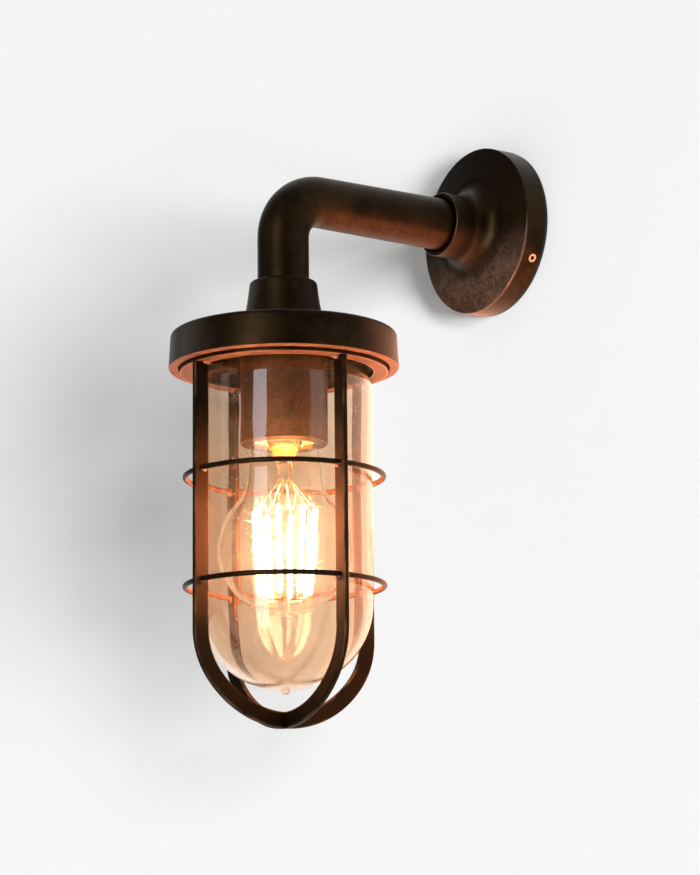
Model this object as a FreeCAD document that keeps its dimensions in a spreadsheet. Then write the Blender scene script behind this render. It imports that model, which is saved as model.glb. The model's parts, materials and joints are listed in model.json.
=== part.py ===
import FreeCAD, Part
import math
import os
import re
import Sketcher

# Outdoor wall light: a round wall plate, one bent arm, a shallow cap and a caged well glass.
# Millimetres, +Z up. The wall is the plane Y = 0 and the light stands out towards -Y.
# The origin lies on the wall, on the axis of the arm and between the two fixing holes.

SHEET = "Sizes"
THREAD_TURNS = 4
BULB_THREAD_TURNS = 4
GRUB_SCREWS = 3
GUARD_BARS = 4
HOLDER_SCREWS = 2
FILAMENTS = 8
SIZES = (
    ("lamp_reach", 124.2, "wall to the lamp's axis"),
    ("fit_gap", 0.1, "gap round a fitted piece that stays put"),
    ("moving_gap", 0.3, "gap between pieces that move past each other"),
    ("cut_overrun", 1.0, "length that a cut runs past its solid"),
    ("plate_radius", 40.2, "wall plate, outside"),
    ("plate_rim_depth", 12.7, "wall plate, wall to the front edge of the rim"),
    ("plate_wall", 2.5, "wall plate, thickness of metal"),
    ("plate_face_rise", 2.6, "wall plate, rise of the face up to the flare"),
    ("plate_edge_round", 0.6, "wall plate, rounding of the front edge"),
    ("plate_flare_radius", 9.3, "hollow curve from the face into the collar"),
    ("collar_wall", 1.9, "collar round the arm, thickness of metal"),
    ("collar_length", 10.4, "straight part of the collar"),
    ("collar_gap", 0.9, "shadow gap between the arm and the collar's bore"),
    ("collar_floor_thickness", 4.5, "floor of the collar, which the arm is bolted to"),
    ("nut_pocket_depth", 5.3, "pocket behind the collar's floor"),
    ("gasket_thickness", 1.5, "foam gasket behind the plate's rim"),
    ("gasket_inset", 0.3, "gasket's edge inside the plate's edge"),
    ("bracket_thickness", 1.5, "sheet steel of the wall bracket"),
    ("bracket_face_gap", 1.2, "gap between the bracket's rim and the plate's face"),
    ("bracket_gap", 0.6, "gap between the bracket and the plate's rim"),
    ("fixing_spacing", 50.8, "distance between the two fixing holes"),
    ("fixing_hole_radius", 2.6, "fixing hole"),
    ("cable_entry_radius", 8.0, "hole for the supply cable"),
    ("cable_entry_rise", 15.0, "cable hole above the arm's axis"),
    ("grub_radius", 2.0, "grub screw in the plate's rim"),
    ("grub_set_back", 5.6, "grub screw's axis off the wall"),
    ("grub_socket_size", 2.0, "grub screw's socket across flats"),
    ("grub_socket_depth", 1.6, "depth of that socket"),
    ("arm_taper", 0.65, "arm thicker at the collar than at the elbow by"),
    ("arm_radius", 11.85, "arm at the elbow and down to the cap"),
    ("spigot_wall", 2.3, "metal round the bore at the turned-down ends"),
    ("elbow_radius", 20.0, "elbow, on the arm's centre line"),
    ("spigot_step", 2.05, "turned-down ends of the arm, thinner than the arm by"),
    ("spigot_past_nut", 2.0, "spigot beyond its nut"),
    ("nut_wall", 2.7, "locknuts, metal at the middle of a flat"),
    ("nut_thickness", 4.0, "locknuts"),
    ("boss_drop", 41.0, "arm's axis down to the top of the cap's boss"),
    ("boss_wall", 3.5, "boss at its top, thickness of metal"),
    ("boss_spread", 3.7, "boss wider at the roof than at its top by"),
    ("boss_curve_radius", 150.0, "hollow side of the boss"),
    ("boss_edge_round", 1.8, "rounding of the boss's top edge"),
    ("socket_depth", 17.0, "depth of the arm in the boss"),
    ("socket_gap", 0.25, "gap round the arm in the boss"),
    ("boss_height", 22.8, "boss above the roof"),
    ("cap_roof_rise", 1.7, "rise of the roof from its edge to the boss"),
    ("cap_roof_thickness", 5.0, "roof at its edge"),
    ("cap_draft", 0.8, "cap narrower at the top of its side by"),
    ("cap_height", 16.5, "edge of the roof to the rim"),
    ("cap_rim_width", 4.5, "rim, from the outside to the thread"),
    ("cap_edge_round", 2.0, "rounding between roof and side"),
    ("cap_rim_round", 1.0, "rounding outside the rim"),
    ("cap_mouth_bevel", 0.6, "bevel inside the rim"),
    ("thread_start", 2.0, "plain length above the cap's thread"),
    ("thread_end", 1.5, "plain length below it"),
    ("thread_depth", 0.5, "cap and guard ring"),
    ("thread_gap", 0.6, "gap between the crests of cap and ring"),
    ("ring_head_gap", 1.5, "gap above the guard ring in the cap"),
    ("ring_proud", 1.6, "guard ring below the cap's rim"),
    ("ring_wall", 2.6, "guard ring, threaded wall"),
    ("ring_floor_thickness", 2.5, "guard ring, floor under the glass's flange"),
    ("ring_ledge_width", 3.9, "guard ring, ledge under the glass's flange"),
    ("seal_thickness", 3.0, "rubber ring on the glass's flange"),
    ("seal_width", 3.8, "rubber ring"),
    ("ring_mouth_gap", 0.7, "gap between the glass's shoulder and the ring's opening"),
    ("glass_taper", 0.6, "glass narrower at its dome by"),
    ("glass_wall", 2.3, "thickness of the glass"),
    ("glass_flange_gap", 0.5, "flange inside the ring's wall"),
    ("glass_flange_thickness", 3.6, "flange"),
    ("glass_swell", 2.0, "glass narrower at its neck by"),
    ("glass_neck_length", 3.2, "straight neck"),
    ("glass_shoulder_height", 7.0, "shoulder between neck and barrel"),
    ("glass_barrel_length", 98.0, "barrel, from the shoulder to the dome"),
    ("pip_radius", 2.2, "sealing pip under the dome"),
    ("pip_height", 1.6, "sealing pip"),
    ("guard_glass_gap", 1.0, "gap between the guard's bars and the glass"),
    ("guard_bar_depth", 7.3, "bars, set edge-on"),
    ("guard_bar_thickness", 2.2, "bars"),
    ("guard_foot_gap", 7.9, "gap between the pip and the bars under it"),
    ("hoop_bend_offset", 12.5, "centres of the bars' side bends, off the axis"),
    ("hoop_crown_flatness", 3.5, "bars' bend underneath, wider than the guard by"),
    ("guard_wire_radius", 1.2, "wire rings"),
    ("upper_wire_drop", 48.2, "ring's floor down to the upper wire"),
    ("lower_wire_drop", 98.0, "ring's floor down to the lower wire"),
    ("wire_hole_gap", 0.05, "wire in its holes through the bars"),
    ("braze_radius", 1.9, "braze collar round a wire"),
    ("braze_length", 1.4, "braze along the wire, or along the ring"),
    ("porcelain_wall", 2.3, "porcelain round its recess"),
    ("skirt_wall", 1.5, "lampholder skirt"),
    ("skirt_past_cap", 3.0, "lampholder skirt below the bulb's screw cap"),
    ("skirt_flange_width", 6.1, "flange that screws to the ceiling"),
    ("skirt_flange_thickness", 2.0, "that flange"),
    ("skirt_mouth_gap", 0.8, "gap round the bulb's screw cap in the skirt's opening"),
    ("skirt_lip_thickness", 1.8, "lip round that opening"),
    ("skirt_edge_round", 1.0, "rounding of the lip's outer edge"),
    ("holder_screw_radius", 1.5, "screws of the skirt's flange"),
    ("holder_screw_length", 4.0, "those screws in the roof"),
    ("holder_head_radius", 2.6, "their heads"),
    ("holder_head_height", 1.8, "their heads"),
    ("holder_gap", 0.3, "porcelain in the skirt"),
    ("holder_recess_gap", 1.37, "gap round the corners of the cap's locknut"),
    ("holder_recess_depth", 8.5, "that recess"),
    ("holder_floor_thickness", 8.0, "porcelain between recess and bulb"),
    ("shell_gap", 0.4, "gap round the bulb's screw cap in the threaded shell"),
    ("shell_wall", 0.5, "threaded shell"),
    ("shell_foot_gap", 1.8, "threaded shell, above the skirt's lip"),
    ("shell_head_space", 2.4, "porcelain's ceiling down to the shell"),
    ("contact_thickness", 0.5, "spring contact"),
    ("contact_width", 4.0, "spring contact"),
    ("contact_drop", 1.9, "porcelain's ceiling down to the contact's tip"),
    ("contact_reach", 7.0, "riveted end of the contact, off the axis"),
    ("contact_bend", 4.5, "bend of the contact, off the axis"),
    ("contact_tongue", 3.0, "free end of the contact, off the axis"),
    ("block_width", 28.0, "terminal block"),
    ("block_front_gap", 1.3, "gap between the terminal block and the plate's face"),
    ("block_height", 11.0, "terminal block"),
    ("block_rim_gap", 4.7, "gap between the block's corners and the bracket's rim"),
    ("pole_spacing", 9.0, "terminals"),
    ("pole_bore_depth", 6.0, "wires' ends in the block"),
    ("pole_screw_radius", 1.5, "clamp screws"),
    ("pole_screw_inset", 0.5, "clamp screws behind the block's face"),
    ("pole_slot_width", 0.6, "their slots"),
    ("earth_screw_radius", 2.0, "earth screw on the bracket"),
    ("earth_head_radius", 3.5, "its head"),
    ("earth_head_height", 2.4, "its head"),
    ("earth_screw_offset", 19.0, "earth screw to the right of the axis"),
    ("earth_screw_drop", 13.0, "earth screw below the axis"),
    ("wire_radius", 1.1, "insulated wires"),
    ("wire_offset", 2.6, "each wire off the arm's centre line"),
    ("wire_run_off_wall", 4.6, "wires' run across the bracket, off the wall"),
    ("wire_rise", 4.5, "straight start of a wire above the block"),
    ("wire_bend_radius", 3.6, "wires' bend into the arm"),
    ("wire_splay_radius", 5.5, "wires' bend towards the arm's centre line"),
    ("wire_end_depth", 3.5, "wires' ends in the porcelain"),
    ("bulb_radius", 30.0, "bulb"),
    ("bulb_room", 7.9, "room between the bulb and the well glass"),
    ("bulb_neck_length", 8.9, "straight part of the bulb's neck"),
    ("bulb_wall", 0.8, "bulb's glass"),
    ("bulb_neck_top_radius", 16.2, "bulb's neck, at its top"),
    ("bulb_neck_radius", 17.0, "bulb's neck, where it starts to widen"),
    ("bulb_hollow_radius", 24.0, "hollow curve from neck to globe"),
    ("bulb_throat_step", 0.2, "bulb's throat narrower than its screw cap by"),
    ("bulb_throat_length", 3.2, "throat below the screw cap"),
    ("bulb_shoulder_height", 3.6, "throat to neck"),
    ("tip_radius", 4.5, "bulb's tip contact"),
    ("tip_height", 1.2, "bulb's tip contact"),
    ("insulator_inset", 2.6, "glass insulator narrower than the screw cap by"),
    ("insulator_height", 2.6, "glass insulator"),
    ("bulb_cap_radius", 13.1, "bulb's screw cap"),
    ("bulb_cap_length", 21.0, "bulb's screw cap"),
    ("bulb_cap_wall", 0.3, "bulb's screw cap, and its gap to the glass"),
    ("bulb_thread_pitch", 3.63, "bulb's screw cap"),
    ("bulb_thread_depth", 0.8, "bulb's screw cap"),
    ("stem_foot_gap", 0.9, "gap round the stem's foot in the bulb's throat"),
    ("stem_foot_height", 6.0, "glass stem, foot"),
    ("stem_radius", 3.4, "glass stem"),
    ("stem_rise", 11.7, "stem's end above the filaments' tops"),
    ("filament_radius", 0.9, "light filaments"),
    ("filament_foot_gap", 5.7, "filaments' feet above the bulb's glass"),
    ("filament_circle", 14.2, "filaments off the axis, at their tops"),
    ("filament_lean", 3.0, "filaments' feet nearer to the axis by"),
    ("filament_rise", 18.1, "filaments' tops above the middle of the globe"),
    ("support_radius", 0.35, "support wires"),
)

# Sizes that follow from others, so that neighbours keep their gaps when one of them changes.
FOLLOWING_SIZES = (
    ("arm_wall_radius", "=arm_radius + arm_taper", "arm where it enters the collar"),
    ("spigot_radius", "=arm_radius - spigot_step", "turned-down ends of the arm"),
    ("arm_bore_radius", "=spigot_radius - spigot_wall", "bore that carries the wires"),
    ("nut_across_flats", "=2 * (spigot_radius + nut_wall)", "locknuts"),
    ("collar_radius", "=arm_wall_radius + collar_gap + collar_wall", "collar, outside"),
    ("boss_top_radius", "=arm_radius + socket_gap + boss_wall", "boss at its top"),
    ("boss_foot_radius", "=boss_top_radius + boss_spread", "boss where it meets the roof"),
    ("cap_drop", "=boss_drop + boss_height + cap_roof_rise", "arm's axis down to the roof's edge"),
    ("thread_length", "=cap_height - cap_roof_thickness - thread_start - thread_end", "cap's thread"),
    ("thread_pitch", f"=thread_length / {THREAD_TURNS}", "cap and guard ring"),
    ("glass_radius", "=bulb_radius + bulb_room + glass_wall", "glass at its shoulder"),
    ("glass_dome_radius", "=glass_radius - glass_taper", "glass at the start of its dome, and the dome"),
    ("glass_neck_radius", "=glass_radius - glass_swell", "glass below the flange"),
    ("ring_mouth_radius", "=glass_radius + ring_mouth_gap", "guard ring, opening round the glass"),
    ("ring_inside_radius", "=ring_mouth_radius + ring_ledge_width", "guard ring, round the flange"),
    ("ring_radius", "=ring_inside_radius + ring_wall", "guard ring, outside"),
    ("thread_radius", "=ring_radius + thread_gap", "crests of the cap's thread"),
    ("cap_radius", "=thread_radius + cap_rim_width", "cap at its rim"),
    ("cap_top_radius", "=cap_radius - cap_draft", "cap at the top of its side"),
    ("guard_radius", "=glass_radius + guard_glass_gap + guard_bar_depth", "outer edges of the guard's bars"),
    ("hoop_shoulder_radius", "=guard_radius - hoop_bend_offset", "bars, bend at each side"),
    ("hoop_crown_radius", "=guard_radius + hoop_crown_flatness", "bars, flatter bend underneath"),
    ("holder_recess_radius", "=nut_across_flats / sqrt(3) + holder_recess_gap", "porcelain's recess"),
    ("porcelain_radius", "=holder_recess_radius + porcelain_wall", "porcelain, outside"),
    ("skirt_radius", "=porcelain_radius + holder_gap + skirt_wall", "lampholder skirt, outside"),
    ("skirt_flange_radius", "=skirt_radius + skirt_flange_width", "flange that screws to the ceiling"),
    ("skirt_mouth_radius", "=bulb_cap_radius + skirt_mouth_gap", "opening that the bulb goes through"),
    ("shell_radius", "=bulb_cap_radius + shell_gap", "threaded shell, inside"),
    ("insulator_radius", "=bulb_cap_radius - insulator_inset", "glass insulator"),
    ("bulb_throat_radius", "=bulb_cap_radius - bulb_throat_step", "bulb's glass below its screw cap"),
    ("bulb_root_radius", "=bulb_cap_radius - bulb_thread_depth - 2 * bulb_cap_wall", "glass in the cap"),
    ("stem_foot_radius", "=bulb_root_radius - bulb_wall - stem_foot_gap", "glass stem, at its foot"),
    ("hollow_reach", "=bulb_neck_radius + bulb_hollow_radius", "centre of the hollow curve, off the axis"),
    ("hollow_spread", "=bulb_radius + bulb_hollow_radius", "centre of the hollow curve to that of the globe"),
    ("hollow_rise", "=sqrt(hollow_spread^2 - hollow_reach^2)", "foot of the neck above the globe's middle"),
    ("filament_foot_circle", "=filament_circle - filament_lean", "filaments off the axis, at their feet"),
)

# Levels on the lamp's axis, from the cap down to the seat of the glass.
ROOF_EDGE = "(-cap_drop)"
CEILING = "(-cap_drop - cap_roof_thickness)"
RIM = "(-cap_drop - cap_height)"
RING_FOOT = f"({RIM} - ring_proud)"
RING_TOP = f"({CEILING} - ring_head_gap)"
LEDGE = f"({RING_FOOT} + ring_floor_thickness)"
FLANGE_FOOT = f"({LEDGE} + moving_gap)"
FLANGE_TOP = f"({FLANGE_FOOT} + glass_flange_thickness)"
FLANGE_RADIUS = "(ring_inside_radius - glass_flange_gap)"
SEAL_FOOT = f"({FLANGE_TOP} + fit_gap)"
SEAL_TOP = f"({SEAL_FOOT} + seal_thickness)"
SEAL_SEAT = f"({SEAL_TOP} + fit_gap)"

# Levels of the glass and of the guard round it. The crown's centre lies above the side bends.
GLASS_NECK_FOOT = f"({FLANGE_FOOT} - glass_neck_length)"
GLASS_SHOULDER = f"({GLASS_NECK_FOOT} - glass_shoulder_height)"
GLASS_DOME = f"({GLASS_SHOULDER} - glass_barrel_length)"
GLASS_FOOT = f"({GLASS_DOME} - glass_dome_radius)"
GUARD_FOOT = f"({GLASS_FOOT} - pip_height - guard_foot_gap - guard_bar_depth)"
CROWN_CENTRE = f"({GUARD_FOOT} + hoop_crown_radius)"
BEND_SPREAD = "(hoop_crown_flatness + hoop_bend_offset)"
CENTRE_RISE = f"sqrt({BEND_SPREAD}^2 - hoop_bend_offset^2)"
BEND_LEVEL = f"({CROWN_CENTRE} - {CENTRE_RISE})"
GUARD_MIDDLE = "(guard_radius - guard_bar_depth / 2)"
UPPER_WIRE = f"({RING_FOOT} - upper_wire_drop)"
LOWER_WIRE = f"({RING_FOOT} - lower_wire_drop)"

# Levels of the bulb and the lampholder, from the porcelain's recess down to the skirt's lip.
RECESS_FLOOR = f"({CEILING} - holder_recess_depth)"
BULB_CEILING = f"({RECESS_FLOOR} - holder_floor_thickness)"
BULB_TIP = f"({BULB_CEILING} - contact_drop - moving_gap)"
INSULATOR_TOP = f"({BULB_TIP} - tip_height)"
SCREW_CAP_TOP = f"({INSULATOR_TOP} - insulator_height)"
SCREW_CAP_FOOT = f"({SCREW_CAP_TOP} - bulb_cap_length)"
SKIRT_FOOT = f"({SCREW_CAP_FOOT} - skirt_past_cap)"
LIP_TOP = f"({SKIRT_FOOT} + skirt_lip_thickness)"
SCREW_CIRCLE = "((skirt_radius + skirt_flange_radius) / 2)"

# Levels of the bulb's glass and of the light inside it.
THROAT_FOOT = f"({SCREW_CAP_FOOT} - bulb_throat_length)"
NECK_TOP = f"({THROAT_FOOT} - bulb_shoulder_height)"
NECK_FOOT = f"({NECK_TOP} - bulb_neck_length)"
BULB_CENTRE = f"({NECK_FOOT} - hollow_rise)"
FILAMENT_TOP = f"({BULB_CENTRE} + filament_rise)"
FOOT_DEPTH = "sqrt((bulb_radius - bulb_wall)^2 - (filament_foot_circle + filament_radius)^2)"
FILAMENT_FOOT = f"({BULB_CENTRE} - {FOOT_DEPTH} + filament_foot_gap)"
STEM_END = f"({FILAMENT_TOP} + stem_rise)"

# Places on the arm's axis, from the wall outwards, as distances off the wall.
FACE_BACK = "(plate_rim_depth - plate_wall)"
NUT_SEAT = f"({FACE_BACK} + nut_pocket_depth)"
COLLAR_FLOOR = f"({NUT_SEAT} + collar_floor_thickness)"
FLARE_START = "(plate_rim_depth + plate_face_rise)"
FLARE_END = f"({FLARE_START} + plate_flare_radius)"
COLLAR_FRONT = f"({FLARE_END} + collar_length)"
SPIGOT_START = f"({NUT_SEAT} - nut_thickness - spigot_past_nut)"
ELBOW_START = "(lamp_reach - elbow_radius)"
ARM_FOOT = "(-boss_drop - socket_depth)"
SPIGOT_FOOT = f"({CEILING} - nut_thickness - spigot_past_nut)"

# The bracket and the terminal block fill the plate's hollow back, each with its gap.
BRACKET_RADIUS = "(plate_radius - plate_wall - bracket_gap)"
BRACKET_INSIDE = f"({BRACKET_RADIUS} - bracket_thickness)"
BRACKET_FRONT = f"({FACE_BACK} - bracket_face_gap)"
BLOCK_FRONT = f"({FACE_BACK} - block_front_gap)"
BLOCK_FOOT = f"(-sqrt(({BRACKET_INSIDE} - block_rim_gap)^2 - (block_width / 2)^2))"
BLOCK_TOP = f"({BLOCK_FOOT} + block_height)"

NAMES = {name for name, value, note in SIZES + FOLLOWING_SIZES}
WORD = re.compile(r"[a-z]+(?:_[a-z]+)+")
LAMP_AXIS = "lamp axis"
WALL_AXIS = "wall axis"

document = FreeCAD.newDocument("WallLight")
sheet = document.addObject("Spreadsheet::Sheet", SHEET)
subparts = []


def fill_sheet():
    """One row for each size: its words, its number or formula, and its alias."""
    for row, (name, value, note) in enumerate(SIZES + FOLLOWING_SIZES, start=1):
        sheet.set(f"A{row}", note)
        sheet.set(f"B{row}", str(value))
        sheet.setAlias(f"B{row}", name)
    document.recompute()


def bound(formula):
    """The formula with the sheet's name before each size."""
    def full(word):
        return f"{SHEET}.{word.group()}" if word.group() in NAMES else word.group()
    return WORD.sub(full, formula)


def size(formula):
    """The formula's value from the sheet."""
    return float(sheet.evalExpression(bound(formula)))


def bind(thing, name, formula):
    thing.setExpression(name, bound(formula))


def vector(across=0.0, along=0.0, up=0.0):
    return FreeCAD.Vector(across, along, up)


def new_body(label, axis=LAMP_AXIS):
    """A body for one sub-part, standing on the lamp's axis or at the origin."""
    body = document.addObject("PartDesign::Body", label)
    if axis == LAMP_AXIS:
        bind(body, "Placement.Base.y", "-lamp_reach")
    subparts.append(body)
    return body


def origin_feature(body, role):
    return next(item for item in body.Origin.OriginFeatures if item.Role == role)


def new_sketch(body, role, name, raised="0"):
    """A sketch on one of the body's own planes, raised along its normal."""
    sketch = body.newObject("Sketcher::SketchObject", name)
    sketch.AttachmentSupport = [(origin_feature(body, role), "")]
    sketch.MapMode = "FlatFace"
    if raised != "0":
        bind(sketch, "AttachmentOffset.Base.z", raised)
    return sketch


def pin(sketch, curve, end, across, up):
    """Hold one end of a curve at two bound distances from the sketch's origin."""
    for kind, formula in (("DistanceX", across), ("DistanceY", up)):
        index = sketch.addConstraint(Sketcher.Constraint(kind, -1, 1, curve, end, size(formula)))
        if formula != "0":
            bind(sketch, f"Constraints[{index}]", formula)


def arc_between(start, end, radius, turn):
    """Arc of the given radius, centred to the left of the way from start to end if turn is 1."""
    chord = end - start
    half = chord.Length / 2
    sideways = vector(-chord.y, chord.x).normalize() * turn
    centre = (start + end) / 2 + sideways * math.sqrt(max(radius**2 - half**2, 0.0))
    first, last = (start, end) if turn > 0 else (end, start)
    angles = [math.atan2(point.y - centre.y, point.x - centre.x) for point in (first, last)]
    if angles[1] < angles[0]:
        angles[1] += 2 * math.pi
    return Part.ArcOfCircle(Part.Circle(centre, vector(up=1.0), radius), *angles)


def draw_outline(sketch, points):
    """Closed outline. A point is (across, up), or (across, up, radius, turn) where an arc follows it."""
    places = [vector(size(point[0]), size(point[1])) for point in points]
    starts = []
    ends = []
    for number, point in enumerate(points):
        here, there = places[number], places[(number + 1) % len(points)]
        if len(point) == 2:
            curve = sketch.addGeometry(Part.LineSegment(here, there), False)
            starts.append((curve, 1))
            ends.append((curve, 2))
            continue
        radius, turn = point[2:]
        curve = sketch.addGeometry(arc_between(here, there, size(radius), turn), False)
        index = sketch.addConstraint(Sketcher.Constraint("Radius", curve, size(radius)))
        bind(sketch, f"Constraints[{index}]", radius)
        starts.append((curve, 1 if turn > 0 else 2))
        ends.append((curve, 2 if turn > 0 else 1))
    for number, point in enumerate(points):
        following = starts[(number + 1) % len(points)]
        sketch.addConstraint(Sketcher.Constraint("Coincident", *ends[number], *following))
        pin(sketch, *starts[number], point[0], point[1])


def draw_circle(sketch, radius, across="0", up="0"):
    centre = vector(size(across), size(up))
    curve = sketch.addGeometry(Part.Circle(centre, vector(up=1.0), size(radius)), False)
    index = sketch.addConstraint(Sketcher.Constraint("Radius", curve, size(radius)))
    bind(sketch, f"Constraints[{index}]", radius)
    pin(sketch, curve, 3, across, up)


def revolve(body, sketch, kind="PartDesign::Revolution", axis="V_Axis"):
    """Turn a sketch once round one of its own axes, to add a solid or to cut a groove."""
    feature = body.newObject(kind, sketch.Name + "_turned")
    feature.Profile = (sketch, [""])
    feature.ReferenceAxis = (sketch, [axis])
    feature.Angle = 360
    return feature


def pad(body, sketch, length, symmetric=False, backwards=False):
    feature = body.newObject("PartDesign::Pad", sketch.Name + "_pad")
    feature.Profile = (sketch, [""])
    bind(feature, "Length", length)
    feature.SideType = "Symmetric" if symmetric else "One side"
    feature.Reversed = backwards
    return feature


def pocket(body, sketch, length, symmetric=False, upwards=False):
    """Cut a sketch against its normal, along it if upwards, or both ways."""
    feature = body.newObject("PartDesign::Pocket", sketch.Name + "_pocket")
    feature.Profile = (sketch, [""])
    bind(feature, "Length", length)
    feature.SideType = "Symmetric" if symmetric else "One side"
    feature.Reversed = upwards
    return feature


def pattern(body, features, role, count):
    """Repeat features at even angles round one of the body's own axes."""
    feature = body.newObject("PartDesign::PolarPattern", features[0].Name + "_pattern")
    feature.Originals = features
    feature.Axis = (origin_feature(body, role), [""])
    feature.Angle = 360
    feature.Occurrences = count
    body.Tip = feature
    return feature


def turned(label, points, axis=LAMP_AXIS):
    """A turned body. Its points are (radius, place on the axis), and an arc's turn is seen that way round."""
    body = new_body(label, axis)
    if axis == LAMP_AXIS:
        sketch = new_sketch(body, "XZ_Plane", label + "_section")
        draw_outline(sketch, points)
        revolve(body, sketch)
    else:
        sketch = new_sketch(body, "YZ_Plane", label + "_section")
        lying = []
        for radius, place, *bend in points:
            lying.append((place, radius, bend[0], -bend[1]) if bend else (place, radius))
        draw_outline(sketch, lying)
        revolve(body, sketch, axis="H_Axis")
    return body


def hexagon(across_flats):
    """Corners of a hexagon with two corners on the sketch's first axis."""
    corners = []
    for step in range(6):
        reach = f"{across_flats} / sqrt(3)"
        corners.append((f"{reach} * cos({60 * step})", f"{reach} * sin({60 * step})"))
    return corners


def thread(crest, depth, pitch, top, turns):
    """Ridged side from the top down: crest, root, crest and so on, at half a pitch each."""
    points = [(crest, top)]
    for turn in range(turns):
        points.append((f"{crest} - {depth}", f"{top} - {turn + 0.5} * {pitch}"))
        points.append((crest, f"{top} - {turn + 1} * {pitch}"))
    return points


# Wall side: gasket, bracket, terminals.


def make_wall_gasket():
    inner, outer = "plate_radius - plate_wall", "plate_radius - gasket_inset"
    turned("wall_gasket", [
        (inner, "0"), (outer, "0"), (outer, "-gasket_thickness"), (inner, "-gasket_thickness"),
    ], WALL_AXIS)


def make_wall_bracket():
    """Pressed pan with two fixing holes, a cable hole and a hole for the earth screw."""
    body = turned("wall_bracket", [
        ("0", "0"), (BRACKET_RADIUS, "0"), (BRACKET_RADIUS, f"-{BRACKET_FRONT}"),
        (BRACKET_INSIDE, f"-{BRACKET_FRONT}"), (BRACKET_INSIDE, "-bracket_thickness"),
        ("0", "-bracket_thickness"),
    ], WALL_AXIS)
    holes = new_sketch(body, "XZ_Plane", "bracket_holes")
    draw_circle(holes, "fixing_hole_radius", "fixing_spacing / 2")
    draw_circle(holes, "fixing_hole_radius", "-fixing_spacing / 2")
    draw_circle(holes, "cable_entry_radius", "0", "cable_entry_rise")
    draw_circle(holes, "earth_screw_radius + fit_gap", "earth_screw_offset", "-earth_screw_drop")
    pocket(body, holes, "2 * bracket_thickness + cut_overrun", symmetric=True)


def make_earth_screw():
    body = new_body("earth_screw", WALL_AXIS)
    shank = new_sketch(body, "XZ_Plane", "earth_shank")
    draw_circle(shank, "earth_screw_radius", "earth_screw_offset", "-earth_screw_drop")
    pad(body, shank, "bracket_thickness")
    head = new_sketch(body, "XZ_Plane", "earth_head", "bracket_thickness")
    draw_circle(head, "earth_head_radius", "earth_screw_offset", "-earth_screw_drop")
    pad(body, head, "earth_head_height")


def block_poles():
    """Place of each terminal across the block."""
    return ["-pole_spacing", "0", "pole_spacing"]


def make_terminal_block():
    """Three-way block with a bore from above and a screw well from the front for each pole."""
    body = new_body("terminal_block", WALL_AXIS)
    outline = new_sketch(body, "XZ_Plane", "block_outline", "bracket_thickness")
    left, right = "-block_width / 2", "block_width / 2"
    draw_outline(outline, [(left, BLOCK_FOOT), (right, BLOCK_FOOT), (right, BLOCK_TOP), (left, BLOCK_TOP)])
    pad(body, outline, f"{BLOCK_FRONT} - bracket_thickness")
    bores = new_sketch(body, "XY_Plane", "block_bores", BLOCK_TOP)
    wells = new_sketch(body, "XZ_Plane", "block_wells", BLOCK_FRONT)
    for pole in block_poles():
        draw_circle(bores, "wire_radius + fit_gap", pole, "-wire_run_off_wall")
        draw_circle(wells, "pole_screw_radius + fit_gap", pole, f"{BLOCK_TOP} - pole_bore_depth / 2")
    pocket(body, bores, "pole_bore_depth")
    pocket(body, wells, f"{BLOCK_FRONT} - wire_run_off_wall - wire_radius")


def make_terminal_screws():
    """Slotted clamp screws, each bearing on its wire."""
    body = new_body("terminal_screws", WALL_AXIS)
    level = f"{BLOCK_TOP} - pole_bore_depth / 2"
    foot = "(wire_run_off_wall + wire_radius + fit_gap)"
    length = f"({BLOCK_FRONT} - pole_screw_inset - {foot})"
    shanks = new_sketch(body, "XZ_Plane", "clamp_shanks", foot)
    slots = new_sketch(body, "XZ_Plane", "clamp_slots", f"{foot} + {length}")
    for pole in block_poles():
        draw_circle(shanks, "pole_screw_radius", pole, level)
        left, right = f"{pole} - pole_screw_radius - cut_overrun", f"{pole} + pole_screw_radius + cut_overrun"
        low, high = f"{level} - pole_slot_width / 2", f"{level} + pole_slot_width / 2"
        draw_outline(slots, [(left, low), (right, low), (right, high), (left, high)])
    pad(body, shanks, length)
    pocket(body, slots, f"{length} / 3")


# Wall plate, its grub screws, and the arm with its two locknuts.


def make_wall_plate():
    """Turned plate: rim, slightly raised face, hollow flare and the collar that the arm enters."""
    inside = "plate_radius - plate_wall"
    pocket_radius = "nut_across_flats / sqrt(3) + 2 * collar_gap"
    bore = "arm_wall_radius + collar_gap"
    body = turned("wall_plate", [
        (inside, "-gasket_thickness"),
        ("plate_radius", "-gasket_thickness"),
        ("plate_radius", "-plate_rim_depth + plate_edge_round", "plate_edge_round", -1),
        ("plate_radius - plate_edge_round", "-plate_rim_depth"),
        ("collar_radius + plate_flare_radius", f"-{FLARE_START}", "plate_flare_radius", 1),
        ("collar_radius", f"-{FLARE_END}"),
        ("collar_radius", f"-{COLLAR_FRONT} + plate_edge_round", "plate_edge_round", -1),
        ("collar_radius - plate_edge_round", f"-{COLLAR_FRONT}"),
        (bore, f"-{COLLAR_FRONT}"),
        (bore, f"-{COLLAR_FLOOR}"),
        ("spigot_radius + fit_gap", f"-{COLLAR_FLOOR}"),
        ("spigot_radius + fit_gap", f"-{NUT_SEAT}"),
        (pocket_radius, f"-{NUT_SEAT}"),
        (pocket_radius, f"-{FACE_BACK}"),
        (inside, f"-{FACE_BACK}"),
    ], WALL_AXIS)
    hole = new_sketch(body, "XY_Plane", "grub_hole", BRACKET_RADIUS)
    draw_circle(hole, "grub_radius + fit_gap", "0", "-grub_set_back")
    cut = pocket(body, hole, "plate_wall + bracket_gap + cut_overrun", upwards=True)
    pattern(body, [cut], "Y_Axis", GRUB_SCREWS)


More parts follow.
